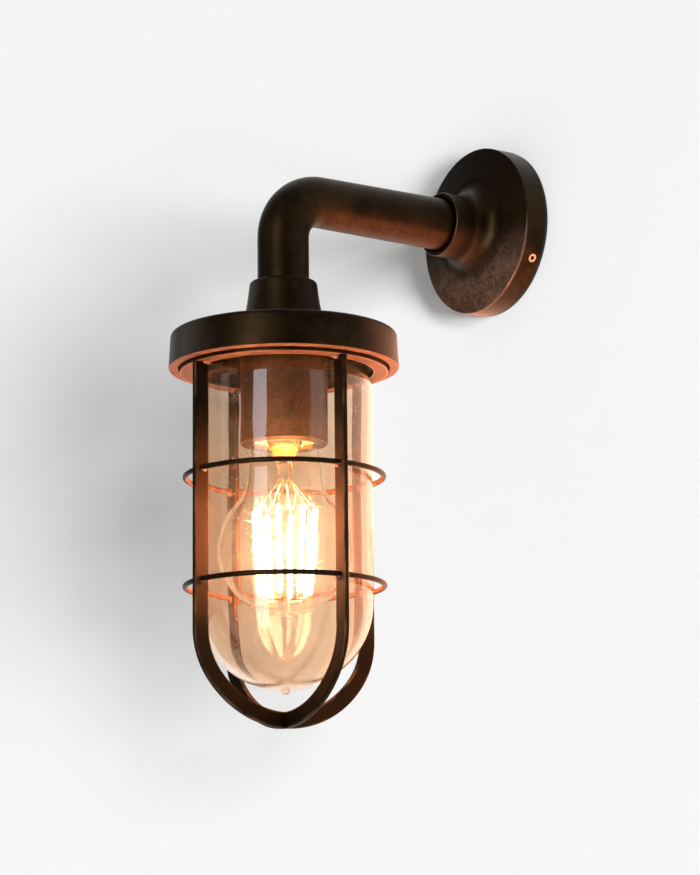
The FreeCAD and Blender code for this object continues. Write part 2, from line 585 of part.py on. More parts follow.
def make_grub_screws():
    """Socket grub screws that run through the plate's rim and bite on the bracket's rim."""
    body = new_body("grub_screws", WALL_AXIS)
    shank = new_sketch(body, "XY_Plane", "grub_shank", f"{BRACKET_RADIUS} + fit_gap")
    draw_circle(shank, "grub_radius", "0", "-grub_set_back")
    screw = pad(body, shank, "plate_wall + bracket_gap - 2 * fit_gap")
    socket = new_sketch(body, "XY_Plane", "grub_socket", "plate_radius - fit_gap")
    draw_outline(socket, [
        (across, f"-grub_set_back + {up}") for across, up in hexagon("grub_socket_size")
    ])
    hole = pocket(body, socket, "grub_socket_depth")
    pattern(body, [screw, hole], "Y_Axis", GRUB_SCREWS)


def draw_route(sketch, start, end):
    """The arm's centre line: out from the wall, round the elbow and down."""
    corner = vector(-size("lamp_reach"), 0.0)
    bend = size("elbow_radius")
    leaves = corner + vector(bend)
    enters = corner - vector(0.0, bend)
    first = None
    if size(start) < size(ELBOW_START):
        first = sketch.addGeometry(Part.LineSegment(vector(-size(start)), leaves), False)
        pin(sketch, first, 1, f"-{start}", "0")
    arc = sketch.addGeometry(arc_between(leaves, enters, bend, 1), False)
    index = sketch.addConstraint(Sketcher.Constraint("Radius", arc, bend))
    bind(sketch, f"Constraints[{index}]", "elbow_radius")
    pin(sketch, arc, 1, f"-{ELBOW_START}", "0")
    last = sketch.addGeometry(Part.LineSegment(enters, vector(corner.x, size(end))), False)
    if first is not None:
        sketch.addConstraint(Sketcher.Constraint("Coincident", first, 2, arc, 1))
    sketch.addConstraint(Sketcher.Constraint("Coincident", arc, 2, last, 1))
    pin(sketch, last, 1, "-lamp_reach", "-elbow_radius")
    pin(sketch, last, 2, "-lamp_reach", end)


def pipe(body, kind, name, radius, start, end):
    """Round section carried along the arm's centre line, as metal or as a bore."""
    section = new_sketch(body, "XZ_Plane", name + "_section", start)
    draw_circle(section, radius)
    route = new_sketch(body, "YZ_Plane", name + "_route")
    draw_route(route, start, end)
    feature = body.newObject(kind, name)
    feature.Profile = (section, [""])
    feature.Spine = (route, [])
    feature.Transition = "Transformed"
    return feature


def make_arm_tube():
    """Cast arm: threaded spigot, tapered run, elbow, drop and lower spigot, bored all through."""
    body = new_body("arm_tube", WALL_AXIS)
    run = new_sketch(body, "YZ_Plane", "arm_run")
    points = [
        ("0", SPIGOT_START), ("spigot_radius", SPIGOT_START), ("spigot_radius", COLLAR_FLOOR),
        ("arm_wall_radius", COLLAR_FLOOR), ("arm_radius", ELBOW_START), ("0", ELBOW_START),
    ]
    draw_outline(run, [(f"-{along}", radius) for radius, along in points])
    revolve(body, run, axis="H_Axis")
    pipe(body, "PartDesign::AdditivePipe", "arm_elbow", "arm_radius", ELBOW_START, ARM_FOOT)
    spigot = new_sketch(body, "XY_Plane", "lower_spigot", ARM_FOOT)
    draw_circle(spigot, "spigot_radius", "0", "-lamp_reach")
    pad(body, spigot, f"{ARM_FOOT} - {SPIGOT_FOOT}", backwards=True)
    start, end = f"({SPIGOT_START} - cut_overrun)", f"({SPIGOT_FOOT} - cut_overrun)"
    pipe(body, "PartDesign::SubtractivePipe", "arm_bore", "arm_bore_radius", start, end)


def make_locknut(label, axis, role, raised, upwards):
    """Hexagonal locknut with a plain bore, seated at the given place."""
    body = new_body(label, axis)
    outline = new_sketch(body, role, label + "_outline", raised)
    draw_outline(outline, hexagon("nut_across_flats"))
    pad(body, outline, "nut_thickness", backwards=not upwards)
    hole = new_sketch(body, role, label + "_hole", raised)
    draw_circle(hole, "spigot_radius + fit_gap")
    pocket(body, hole, "2 * nut_thickness + cut_overrun", symmetric=True)


# Cap, lampholder and wires.


def make_cap():
    """Turned cap: boss with the arm's socket, thin roof, threaded side and the seat of the seal."""
    groove = [(radius, level) for radius, level in thread(
        "thread_radius", "-thread_depth", "thread_pitch", f"{CEILING} - thread_start", THREAD_TURNS)]
    boss_side = "-boss_drop - boss_edge_round"
    seat_outer = f"ring_inside_radius - thread_gap"
    body = turned("cap", [
        ("arm_radius + socket_gap", "-boss_drop"),
        ("arm_radius + socket_gap", ARM_FOOT),
        ("spigot_radius + fit_gap", ARM_FOOT),
        ("spigot_radius + fit_gap", CEILING),
        (f"{seat_outer} - seal_width", CEILING),
        (f"{seat_outer} - seal_width", SEAL_SEAT),
        (seat_outer, SEAL_SEAT),
        (seat_outer, CEILING),
        ("thread_radius", CEILING),
        *groove,
        ("thread_radius", f"{RIM} + cap_mouth_bevel"),
        (f"thread_radius + cap_mouth_bevel", RIM),
        ("cap_radius - cap_rim_round", RIM, "cap_rim_round", 1),
        ("cap_radius", f"{RIM} + cap_rim_round"),
        ("cap_top_radius", f"{ROOF_EDGE} - cap_edge_round", "cap_edge_round", 1),
        ("cap_top_radius - cap_edge_round", ROOF_EDGE),
        ("boss_foot_radius", f"{ROOF_EDGE} + cap_roof_rise", "boss_curve_radius", -1),
        ("boss_top_radius", boss_side, "boss_edge_round", 1),
        ("boss_top_radius - boss_edge_round", "-boss_drop"),
    ])
    hole = new_sketch(body, "XY_Plane", "ceiling_hole", CEILING)
    draw_circle(hole, "holder_screw_radius + fit_gap", SCREW_CIRCLE)
    cut = pocket(body, hole, "holder_screw_length + fit_gap", upwards=True)
    pattern(body, [cut], "Z_Axis", HOLDER_SCREWS)


def make_lampholder_skirt():
    """Turned skirt with a flange above and a lip below."""
    inside = "skirt_radius - skirt_wall"
    flange_foot = f"{CEILING} - skirt_flange_thickness"
    body = turned("lampholder_skirt", [
        (inside, CEILING), (inside, LIP_TOP),
        ("skirt_mouth_radius", LIP_TOP), ("skirt_mouth_radius", SKIRT_FOOT),
        ("skirt_radius - skirt_edge_round", SKIRT_FOOT, "skirt_edge_round", 1),
        ("skirt_radius", f"{SKIRT_FOOT} + skirt_edge_round"), ("skirt_radius", flange_foot),
        ("skirt_flange_radius", flange_foot), ("skirt_flange_radius", CEILING),
    ])
    hole = new_sketch(body, "XY_Plane", "flange_hole", CEILING)
    draw_circle(hole, "holder_screw_radius + fit_gap", SCREW_CIRCLE)
    cut = pocket(body, hole, "skirt_flange_thickness + cut_overrun")
    pattern(body, [cut], "Z_Axis", HOLDER_SCREWS)


def make_holder_screws():
    """Two screws through the skirt's flange into the ceiling of the cap."""
    body = new_body("holder_screws")
    shank = new_sketch(body, "XY_Plane", "holder_shank", f"{CEILING} + holder_screw_length")
    draw_circle(shank, "holder_screw_radius", SCREW_CIRCLE)
    thread_part = pad(body, shank, "holder_screw_length + skirt_flange_thickness", backwards=True)
    head = new_sketch(body, "XY_Plane", "holder_head", f"{CEILING} - skirt_flange_thickness")
    draw_circle(head, "holder_head_radius", SCREW_CIRCLE)
    head_part = pad(body, head, "holder_head_height", backwards=True)
    pattern(body, [thread_part, head_part], "Z_Axis", HOLDER_SCREWS)


def wire_places():
    """Each wire's name, its pole across the block, and its place off the arm's centre line."""
    return [
        ("wire_live", "-pole_spacing", "-wire_offset", "0"),
        ("wire_earth", "0", "0", "wire_offset"),
        ("wire_neutral", "pole_spacing", "wire_offset", "0"),
    ]


def make_lampholder_body():
    """Porcelain: recess round the locknut above, bulb's chamber below, bores for three wires."""
    chamber = "shell_radius + shell_wall + fit_gap"
    body = turned("lampholder_body", [
        ("0", RECESS_FLOOR), ("0", BULB_CEILING), (chamber, BULB_CEILING), (chamber, LIP_TOP),
        ("porcelain_radius", LIP_TOP), ("porcelain_radius", CEILING),
        ("holder_recess_radius", CEILING), ("holder_recess_radius", RECESS_FLOOR),
    ])
    bores = new_sketch(body, "XY_Plane", "wire_bores", RECESS_FLOOR)
    for name, pole, across, outwards in wire_places():
        draw_circle(bores, "wire_radius + fit_gap", across, f"-{outwards}" if outwards != "0" else "0")
    pocket(body, bores, "wire_end_depth")


def make_screw_shell():
    """Brass shell that the bulb screws into."""
    top = f"{BULB_CEILING} - shell_head_space"
    foot = f"{LIP_TOP} + shell_foot_gap"
    turned("screw_shell", [
        ("shell_radius", top), ("shell_radius", foot), ("shell_radius + shell_wall", foot),
        ("shell_radius + shell_wall", top),
    ])


def make_centre_contact():
    """Folded spring leaf on the chamber's ceiling, with its free end over the bulb's tip."""
    body = new_body("centre_contact")
    leaf = new_sketch(body, "XZ_Plane", "leaf_side")
    draw_outline(leaf, [
        ("-contact_reach", BULB_CEILING),
        ("contact_bend", BULB_CEILING),
        ("contact_bend", f"{BULB_CEILING} - 1.4 * contact_thickness"),
        ("-contact_tongue", f"{BULB_CEILING} - contact_drop"),
        ("-contact_tongue", f"{BULB_CEILING} - contact_drop + contact_thickness"),
        ("contact_bend - 2 * contact_thickness", f"{BULB_CEILING} - contact_thickness"),
        ("-contact_reach", f"{BULB_CEILING} - contact_thickness"),
    ])
    pad(body, leaf, "contact_width", symmetric=True)


def bent_tube(label, points, bends, radius):
    """Round tube along straight runs joined by tangent arcs, one bend radius for each inner point."""
    edges = []
    here = points[0]
    length = 0.0
    for number in range(1, len(points) - 1):
        corner = points[number]
        back = (points[number - 1] - corner).normalize()
        onward = (points[number + 1] - corner).normalize()
        half_turn = (math.pi - back.getAngle(onward)) / 2
        setback = bends[number - 1] * math.tan(half_turn)
        first = corner + back * setback
        last = corner + onward * setback
        inward = (back + onward).normalize()
        middle = corner + inward * (bends[number - 1] * (1 / math.cos(half_turn) - 1))
        edges.append(Part.LineSegment(here, first).toShape())
        edges.append(Part.Arc(first, middle, last).toShape())
        length += (first - here).Length + 2 * half_turn * bends[number - 1]
        here = last
    edges.append(Part.LineSegment(here, points[-1]).toShape())
    length += (points[-1] - here).Length
    route = Part.Wire(edges)
    end_circle = Part.makeCircle(radius, points[0], points[1] - points[0])
    solid = route.makePipeShell([Part.Wire([end_circle])], True, False)
    print(label, "volume over section times length", round(solid.Volume / (math.pi * radius**2 * length), 4))
    feature = document.addObject("Part::Feature", label)
    feature.Shape = solid
    subparts.append(feature)


def make_wires():
    """Three wires from the terminal block through the arm to the porcelain."""
    reach, run, top = size("lamp_reach"), size("wire_run_off_wall"), size(BLOCK_TOP)
    rise, elbow = size("wire_rise"), size("elbow_radius")
    end = size(RECESS_FLOOR) - size("wire_end_depth")
    start = top - size("pole_bore_depth")
    for label, pole_place, across_place, outwards_place in wire_places():
        pole, across, outwards = size(pole_place), size(across_place), size(outwards_place)
        points = [vector(pole, -run, start), vector(pole, -run, top + rise), vector(across, -run, outwards)]
        points += [vector(across, -reach - outwards, outwards), vector(across, -reach - outwards, end)]
        bends = [size("wire_splay_radius"), size("wire_bend_radius"), elbow + outwards]
        if pole == across:
            del points[1], bends[0]
        bent_tube(label, points, bends, size("wire_radius"))


# Glass and its seal.


def make_glass_seal():
    outer = f"(ring_inside_radius - thread_gap)"
    inner = f"({outer} - seal_width)"
    turned("glass_seal", [(inner, SEAL_FOOT), (outer, SEAL_FOOT), (outer, SEAL_TOP), (inner, SEAL_TOP)])


def make_well_glass():
    """Blown glass in three lengths that meet face to face: flanged neck and shoulder, barrel, dome with its pip."""
    curve = "((glass_swell^2 + glass_shoulder_height^2) / (2 * glass_swell))"
    turned("well_glass_neck", [
        ("glass_neck_radius - glass_wall", FLANGE_TOP),
        ("glass_neck_radius - glass_wall", GLASS_NECK_FOOT, f"{curve} - glass_wall", -1),
        ("glass_radius - glass_wall", GLASS_SHOULDER),
        ("glass_radius", GLASS_SHOULDER, curve, 1),
        ("glass_neck_radius", GLASS_NECK_FOOT),
        ("glass_neck_radius", FLANGE_FOOT),
        (FLANGE_RADIUS, FLANGE_FOOT),
        (FLANGE_RADIUS, FLANGE_TOP),
    ])
    turned("well_glass_barrel", [
        ("glass_radius - glass_wall", GLASS_SHOULDER),
        ("glass_dome_radius - glass_wall", GLASS_DOME),
        ("glass_dome_radius", GLASS_DOME),
        ("glass_radius", GLASS_SHOULDER),
    ])
    turned("well_glass_dome", [
        ("glass_dome_radius - glass_wall", GLASS_DOME, "glass_dome_radius - glass_wall", -1),
        ("0", f"{GLASS_FOOT} + glass_wall"),
        ("0", f"{GLASS_FOOT} - pip_height"),
        ("pip_radius / 2", f"{GLASS_FOOT} - pip_height"),
        ("pip_radius", f"{GLASS_DOME} - sqrt(glass_dome_radius^2 - pip_radius^2)", "glass_dome_radius", 1),
        ("glass_dome_radius", GLASS_DOME),
    ])


# Guard: ring, two hoops of flat bar, two wire rings and the braze that joins them.


def make_guard_ring():
    """Threaded ring with a floor that carries the glass's flange."""
    start = f"{RING_TOP} - thread_pitch / 2"
    side = thread("ring_radius", "thread_depth", "thread_pitch", start, THREAD_TURNS)
    turned("guard_ring", [
        ("ring_inside_radius", LEDGE), ("ring_mouth_radius", LEDGE), ("ring_mouth_radius", RING_FOOT),
        ("ring_radius", RING_FOOT), *reversed(side),
        ("ring_radius", RING_TOP), ("ring_inside_radius", RING_TOP),
    ])


def hoop_points():
    """Outside of a U-shaped hoop, then its inside: bars, a tight bend each side, a flat crown."""
    points = []
    for side, inset, turns in ((-1, "0", 1), (1, "guard_bar_depth", -1)):
        half = f"(guard_radius - {inset})"
        crown = f"(hoop_crown_radius - {inset})"
        bend = f"(hoop_shoulder_radius - {inset})"
        meet = f"({crown} * hoop_bend_offset / {BEND_SPREAD})"
        level = f"({CROWN_CENTRE} - {crown} * {CENTRE_RISE} / {BEND_SPREAD})"
        points += [
            (f"{side} * {half}", RING_FOOT),
            (f"{side} * {half}", BEND_LEVEL, bend, turns),
            (f"{side} * {meet}", level, crown, turns),
            (f"{-side} * {meet}", level, bend, turns),
            (f"{-side} * {half}", BEND_LEVEL),
            (f"{-side} * {half}", RING_FOOT),
        ]
    return points


def make_hoop(label, role, lap_below):
    """Hoop of flat bar, bored for the wire rings and halved where the two hoops cross."""
    body = new_body(label)
    side = new_sketch(body, role, label + "_side")
    draw_outline(side, hoop_points())
    pad(body, side, "guard_bar_thickness", symmetric=True)
    wires = new_sketch(body, "XZ_Plane", label + "_wires")
    for level in (UPPER_WIRE, LOWER_WIRE):
        draw_circle(wires, "guard_wire_radius + wire_hole_gap", GUARD_MIDDLE, level)
    revolve(body, wires, "PartDesign::Groove")
    half = "(guard_bar_thickness / 2 + fit_gap)"
    middle = f"({GUARD_FOOT} + guard_bar_depth / 2)"
    end = f"({GUARD_FOOT} - cut_overrun)" if lap_below else f"({GUARD_FOOT} + guard_bar_depth + cut_overrun)"
    low, high = (end, middle) if lap_below else (middle, end)
    lap = new_sketch(body, role, label + "_lap")
    draw_outline(lap, [(f"-{half}", low), (half, low), (half, high), (f"-{half}", high)])
    pocket(body, lap, "guard_bar_thickness + cut_overrun", symmetric=True)


def make_guard_wire(label, level):
    """Round wire bent to a closed ring through the bars."""
    ring = document.addObject("Part::Torus", label)
    bind(ring, "Radius1", GUARD_MIDDLE)
    bind(ring, "Radius2", "guard_wire_radius")
    bind(ring, "Placement.Base.y", "-lamp_reach")
    bind(ring, "Placement.Base.z", level)
    subparts.append(ring)


def make_wire_brazes():
    """Collar of braze on both sides of every bar, round both wires."""
    body = new_body("wire_brazes")
    section = new_sketch(body, "XZ_Plane", "collar_section")
    for level in (UPPER_WIRE, LOWER_WIRE):
        draw_circle(section, "braze_radius", GUARD_MIDDLE, level)
        draw_circle(section, "guard_wire_radius + wire_hole_gap", GUARD_MIDDLE, level)
    collars = revolve(body, section)
    collars.Midplane = True
    bind(collars, "Angle", f"2 * asin((guard_bar_thickness / 2 + braze_length) / {GUARD_MIDDLE})")
    gap = new_sketch(body, "XZ_Plane", "collar_gap_cut")
    inner, outer = f"{GUARD_MIDDLE} - 2 * braze_radius", f"{GUARD_MIDDLE} + 2 * braze_radius"
    draw_outline(gap, [
        (inner, f"{LOWER_WIRE} - 2 * braze_radius"), (outer, f"{LOWER_WIRE} - 2 * braze_radius"),
        (outer, f"{UPPER_WIRE} + 2 * braze_radius"), (inner, f"{UPPER_WIRE} + 2 * braze_radius"),
    ])
    cut = pocket(body, gap, "guard_bar_thickness", symmetric=True)
    pattern(body, [collars, cut], "Z_Axis", GUARD_BARS)


def make_bar_brazes():
    """Fillet of braze on both sides of every bar, under the ring."""
    body = new_body("bar_brazes")
    inner = "(guard_radius - guard_bar_depth + guard_bar_thickness / 4)"
    section = new_sketch(body, "YZ_Plane", "fillet_section", inner)
    for side in (-1, 1):
        points = [
            (f"{side} * guard_bar_thickness / 2", RING_FOOT),
            (f"{side} * (guard_bar_thickness / 2 + braze_length)", RING_FOOT),
            (f"{side} * guard_bar_thickness / 2", f"{RING_FOOT} - braze_length"),
        ]
        draw_outline(section, points)
    fillets = pad(body, section, f"ring_radius - {inner} - guard_bar_thickness / 4")
    pattern(body, [fillets], "Z_Axis", GUARD_BARS)


# Bulb: tip, insulator, screw cap, glass, stem, filaments and their supports.


def make_bulb_ends():
    """Solder tip, dark glass insulator and the thin screw cap."""
    turned("bulb_tip", [
        ("0", BULB_TIP), ("tip_radius - tip_height / 2", BULB_TIP),
        ("tip_radius", INSULATOR_TOP), ("0", INSULATOR_TOP),
    ])
    turned("bulb_insulator", [
        ("0", INSULATOR_TOP), ("tip_radius", INSULATOR_TOP),
        ("insulator_radius", SCREW_CAP_TOP), ("0", SCREW_CAP_TOP),
    ])
    root = "(bulb_cap_radius - bulb_thread_depth - bulb_cap_wall)"
    start = f"({SCREW_CAP_TOP} - bulb_thread_pitch / 2)"
    ridges = thread("bulb_cap_radius", "bulb_thread_depth", "bulb_thread_pitch", start, BULB_THREAD_TURNS)
    turned("bulb_cap", [
        (root, SCREW_CAP_FOOT), ("bulb_cap_radius", SCREW_CAP_FOOT), *reversed(ridges),
        ("insulator_radius", SCREW_CAP_TOP), ("0", SCREW_CAP_TOP), ("0", f"{SCREW_CAP_TOP} - bulb_cap_wall"),
        ("insulator_radius - bulb_cap_wall", f"{SCREW_CAP_TOP} - bulb_cap_wall"), (root, start),
    ])


def make_bulb_glass():
    """Blown bulb: throat in the screw cap, neck, hollow curve and round globe."""
    top = f"({SCREW_CAP_FOOT} + bulb_throat_length)"
    inner, outer = "(bulb_radius - bulb_wall)", "bulb_radius"
    meet = [
        (f"{globe} * hollow_reach / hollow_spread", f"{BULB_CENTRE} + {globe} * hollow_rise / hollow_spread")
        for globe in (inner, outer)
    ]
    turned("bulb_glass", [
        ("bulb_root_radius - bulb_wall", top),
        ("bulb_root_radius - bulb_wall", SCREW_CAP_FOOT),
        ("bulb_throat_radius - bulb_wall", THROAT_FOOT),
        ("bulb_neck_top_radius - bulb_wall", NECK_TOP),
        ("bulb_neck_radius - bulb_wall", NECK_FOOT, "bulb_hollow_radius + bulb_wall", 1),
        (*meet[0], inner, -1),
        ("0", f"{BULB_CENTRE} - {inner}"),
        ("0", f"{BULB_CENTRE} - {outer}", outer, 1),
        (*meet[1], "bulb_hollow_radius", -1),
        ("bulb_neck_radius", NECK_FOOT),
        ("bulb_neck_top_radius", NECK_TOP),
        ("bulb_throat_radius", THROAT_FOOT),
        ("bulb_root_radius", SCREW_CAP_FOOT),
        ("bulb_root_radius", top),
    ])


def make_bulb_inside():
    """Glass stem, thin rods of light round it that lean slightly inwards, and the wires that hold them."""
    foot = f"({SCREW_CAP_FOOT} - stem_foot_height)"
    turned("bulb_stem", [
        ("0", SCREW_CAP_FOOT), ("stem_foot_radius", SCREW_CAP_FOOT),
        ("stem_radius", foot), ("stem_radius", STEM_END), ("0", STEM_END),
    ])
    body = new_body("bulb_filaments")
    side = new_sketch(body, "XZ_Plane", "filament_side")
    draw_outline(side, [
        ("filament_circle - filament_radius", FILAMENT_TOP),
        ("filament_circle + filament_radius", FILAMENT_TOP),
        ("filament_foot_circle + filament_radius", FILAMENT_FOOT),
        ("filament_foot_circle - filament_radius", FILAMENT_FOOT),
    ])
    rod = pad(body, side, "2 * filament_radius", symmetric=True)
    pattern(body, [rod], "Z_Axis", FILAMENTS)
    supports = new_body("filament_supports")
    spoke = new_sketch(supports, "XZ_Plane", "spoke_side")
    draw_outline(spoke, [
        ("stem_radius", f"{STEM_END} + 2 * support_radius"),
        ("filament_circle", f"{FILAMENT_TOP} + 3 * support_radius"),
        ("filament_circle", f"{FILAMENT_TOP} + support_radius"),
        ("stem_radius", STEM_END),
    ])
    arm = pad(supports, spoke, "2 * support_radius", symmetric=True)
    pattern(supports, [arm], "Z_Axis", FILAMENTS)


def build():
    fill_sheet()
    make_wall_gasket()
    make_wall_bracket()
    make_earth_screw()
    make_terminal_block()
    make_terminal_screws()
    make_wall_plate()
    make_grub_screws()
    make_arm_tube()
    make_locknut("arm_locknut", WALL_AXIS, "XZ_Plane", f"{NUT_SEAT} - nut_thickness", True)
    make_locknut("cap_locknut", LAMP_AXIS, "XY_Plane", CEILING, False)
    make_cap()
    make_lampholder_skirt()
    make_holder_screws()
    make_lampholder_body()
    make_screw_shell()
    make_centre_contact()
    make_wires()
    make_glass_seal()
    make_well_glass()
    make_guard_ring()
    make_hoop("guard_hoop_front", "YZ_Plane", True)
    make_hoop("guard_hoop_side", "XZ_Plane", False)
    make_guard_wire("guard_wire_upper", UPPER_WIRE)
    make_guard_wire("guard_wire_lower", LOWER_WIRE)
    make_wire_brazes()
    make_bar_brazes()
    make_bulb_ends()
    make_bulb_glass()
    make_bulb_inside()
    document.recompute()


def check():
    """Stop if any object failed, or any sub-part is empty or broken."""
    for thing in document.Objects:
        if "Invalid" in thing.State or "Error" in thing.State:
            raise RuntimeError(f"{thing.Name} failed: {thing.State}")
    for subpart in subparts:
        if subpart.Shape.isNull() or not subpart.Shape.isValid() or not subpart.Shape.Solids:
            raise RuntimeError(f"{subpart.Label} has no sound shape")


def write():
    os.makedirs("parts", exist_ok=True)
    for subpart in subparts:
        subpart.Shape.exportStep(os.path.join("parts", subpart.Label + ".step"))


build()
check()
write()
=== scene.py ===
import json
import math

import bpy
import numpy as np
from mathutils import Matrix, Vector

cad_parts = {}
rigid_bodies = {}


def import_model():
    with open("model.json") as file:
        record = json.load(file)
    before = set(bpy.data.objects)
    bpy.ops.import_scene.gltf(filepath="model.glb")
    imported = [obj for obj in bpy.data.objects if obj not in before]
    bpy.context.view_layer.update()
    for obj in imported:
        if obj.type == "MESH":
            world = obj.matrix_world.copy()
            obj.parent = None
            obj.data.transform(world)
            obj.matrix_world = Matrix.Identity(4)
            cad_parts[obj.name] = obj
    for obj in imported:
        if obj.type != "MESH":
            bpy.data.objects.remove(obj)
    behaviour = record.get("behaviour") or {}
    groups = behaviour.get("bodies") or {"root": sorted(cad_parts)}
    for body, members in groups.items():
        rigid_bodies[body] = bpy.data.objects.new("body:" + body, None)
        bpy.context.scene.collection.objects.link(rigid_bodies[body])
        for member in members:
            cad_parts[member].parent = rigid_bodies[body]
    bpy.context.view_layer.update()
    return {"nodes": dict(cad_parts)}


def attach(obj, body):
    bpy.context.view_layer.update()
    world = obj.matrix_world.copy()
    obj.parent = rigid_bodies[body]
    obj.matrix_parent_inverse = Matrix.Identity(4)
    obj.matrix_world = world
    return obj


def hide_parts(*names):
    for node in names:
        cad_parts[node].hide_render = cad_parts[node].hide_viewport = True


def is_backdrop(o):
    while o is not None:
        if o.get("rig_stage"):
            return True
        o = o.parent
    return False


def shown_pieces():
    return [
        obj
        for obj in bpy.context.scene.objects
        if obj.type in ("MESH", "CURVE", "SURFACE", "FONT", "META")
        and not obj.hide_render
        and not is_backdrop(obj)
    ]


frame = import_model()


# Camera
# It stands to the right of the light and below it, 1.4 m away, and looks up through a long lens.
# Its place, turn and lens were fitted to the edges of the plate, the arm, the cap and the guard.

IMAGE_HEIGHT = 875
FOCAL_LENGTH_PIXELS = 3000.0
# The sensor's long side is upright, as the picture's is.
SENSOR_HEIGHT_MM = 36.0
NEAREST_SEEN, FARTHEST_SEEN = 0.01, 50.0
CAMERA_PLACE = (1.10681, -0.87046, -0.37814)
CAMERA_TURN, CAMERA_PITCH, CAMERA_ROLL = np.radians((54.73, 11.21, -0.56))


def camera_matrix():
    """Columns right, up and back, from the turn about Z, the pitch upwards and the roll about the view."""
    forward = Vector((-math.sin(CAMERA_TURN) * math.cos(CAMERA_PITCH),
                      math.cos(CAMERA_TURN) * math.cos(CAMERA_PITCH), math.sin(CAMERA_PITCH)))
    level = Vector((math.cos(CAMERA_TURN), math.sin(CAMERA_TURN), 0.0))
    upright = level.cross(forward)
    right = level * math.cos(CAMERA_ROLL) + upright * math.sin(CAMERA_ROLL)
    up = right.cross(forward)
    return Matrix.Translation(CAMERA_PLACE) @ Matrix((right, up, -forward)).transposed().to_4x4()


camera = bpy.data.objects.new("camera", bpy.data.cameras.new("camera"))
camera.data.sensor_width = SENSOR_HEIGHT_MM
camera.data.lens = FOCAL_LENGTH_PIXELS * SENSOR_HEIGHT_MM / IMAGE_HEIGHT
camera.data.clip_start, camera.data.clip_end = NEAREST_SEEN, FARTHEST_SEEN
camera.matrix_world = camera_matrix()
bpy.context.scene.collection.objects.link(camera)
bpy.context.scene.camera = camera
bpy.context.scene.view_settings.view_transform = "Standard"


# Room: a pale wall and floor that can't be seen from behind, so that views from there show the light
# Three suns from the right graze the wall as one wide softbox would, tall panes stand on the
# camera's left, and a warm disk at the wall stands for light that comes back under the arm.


class Signal:
    """One socket of a material's nodes, so that shader maths is written as Python expressions."""

    def __init__(self, tree, socket=None):
        self.tree = tree
        self.socket = socket

    def add(self, kind, inputs=None, output=0, **settings):
        """Any node: its type, its settings, and the values or links of its sockets."""
        made = self.tree.nodes.new("ShaderNode" + kind)
        for name, value in settings.items():
            setattr(made, name, value)
        for name, value in (inputs or {}).items():
            if isinstance(value, Signal):
                self.tree.links.new(value.socket, made.inputs[name])
            else:
                made.inputs[name].default_value = value
        return Signal(self.tree, made.outputs[output] if len(made.outputs) else None)

    def maths(self, operation, *values):
        return self.add("Math", dict(enumerate(values)), operation=operation)

    def __add__(self, other):
        return self.maths("ADD", self, other)

    def __sub__(self, other):
        return self.maths("SUBTRACT", self, other)

    def __rsub__(self, other):
        return self.maths("SUBTRACT", other, self)

    def __mul__(self, other):
        return self.maths("MULTIPLY", self, other)

    def __pow__(self, other):
        return self.maths("POWER", self, other)

    def __abs__(self):
        return self.maths("ABSOLUTE", self)

    __radd__ = __add__
    __rmul__ = __mul__

    def larger(self, other):
        return self.maths("MAXIMUM", self, other)

    def rise(self, low, high):
        """0 below low, 1 above high, and smooth between them."""
        inputs = {"Value": self, "From Min": low, "From Max": high}
        return self.add("MapRange", inputs, interpolation_type="SMOOTHSTEP")

    def near(self, centre, width):
        """1 at the centre, falling smoothly to 0 at that width on both sides."""
        return 1.0 - abs(self - centre).rise(0.0, width)

    def noise(self, scale, detail=3.0, roughness=0.55, stretch=(1.0, 1.0, 1.0)):
        """Cloudy noise over this place, with the given number of features to a metre."""
        place = self.add("VectorMath", {0: self, 1: stretch}, operation="MULTIPLY")
        inputs = {"Vector": place, "Scale": scale, "Detail": detail, "Roughness": roughness}
        return self.add("TexNoise", inputs)

    def mix(self, factor, first, second):
        """From the first colour to the second as the factor goes from 0 to 1."""
        return self.add("Mix", {0: factor, 6: first, 7: second}, output=2, data_type="RGBA")

    def axes(self):
        """The three coordinates of this place."""
        split = self.add("SeparateXYZ", {0: self})
        outputs = split.socket.node.outputs
        return [Signal(self.tree, outputs[number]) for number in range(3)]


def new_material(name):
    """An empty material, its board, and the place of the shaded point on the piece."""
    made = bpy.data.materials.new(name)
    made.use_nodes = True
    made.node_tree.nodes.clear()
    board = Signal(made.node_tree)
    return made, board, board.add("TexCoord", output="Object")


def put_mesh(name, points, faces, sharp=40.0):
    """A new object at the origin from arrays of points and faces, smooth but for its sharp edges."""
    mesh = bpy.data.meshes.new(name)
    mesh.from_pydata(np.asarray(points).reshape(-1, 3).tolist(), [], faces)
    mesh.polygons.foreach_set("use_smooth", np.ones(len(mesh.polygons), bool))
    mesh.set_sharp_from_angle(angle=math.radians(sharp))
    mesh.update()
    made = bpy.data.objects.new(name, mesh)
    bpy.context.scene.collection.objects.link(made)
    return made


def room_material(name, colour):
    """Matt paint on the side that faces the light, and nothing on the other side."""
    made, board, _ = new_material(name)
    paint = board.add("BsdfDiffuse", {"Color": colour})
    nothing = board.add("BsdfTransparent")
    behind = board.add("NewGeometry", output="Backfacing")
    board.add("OutputMaterial", {"Surface": board.add("MixShader", {0: behind, 1: paint, 2: nothing})})
    return made


ROOM_PAINT = (0.93, 0.93, 0.93, 1.0)
WALL_GAP = 0.0004
ROOM_HALF = 12.0
FLOOR_LEVEL = -1.6
ONE_FACE = [(0, 1, 2, 3)]

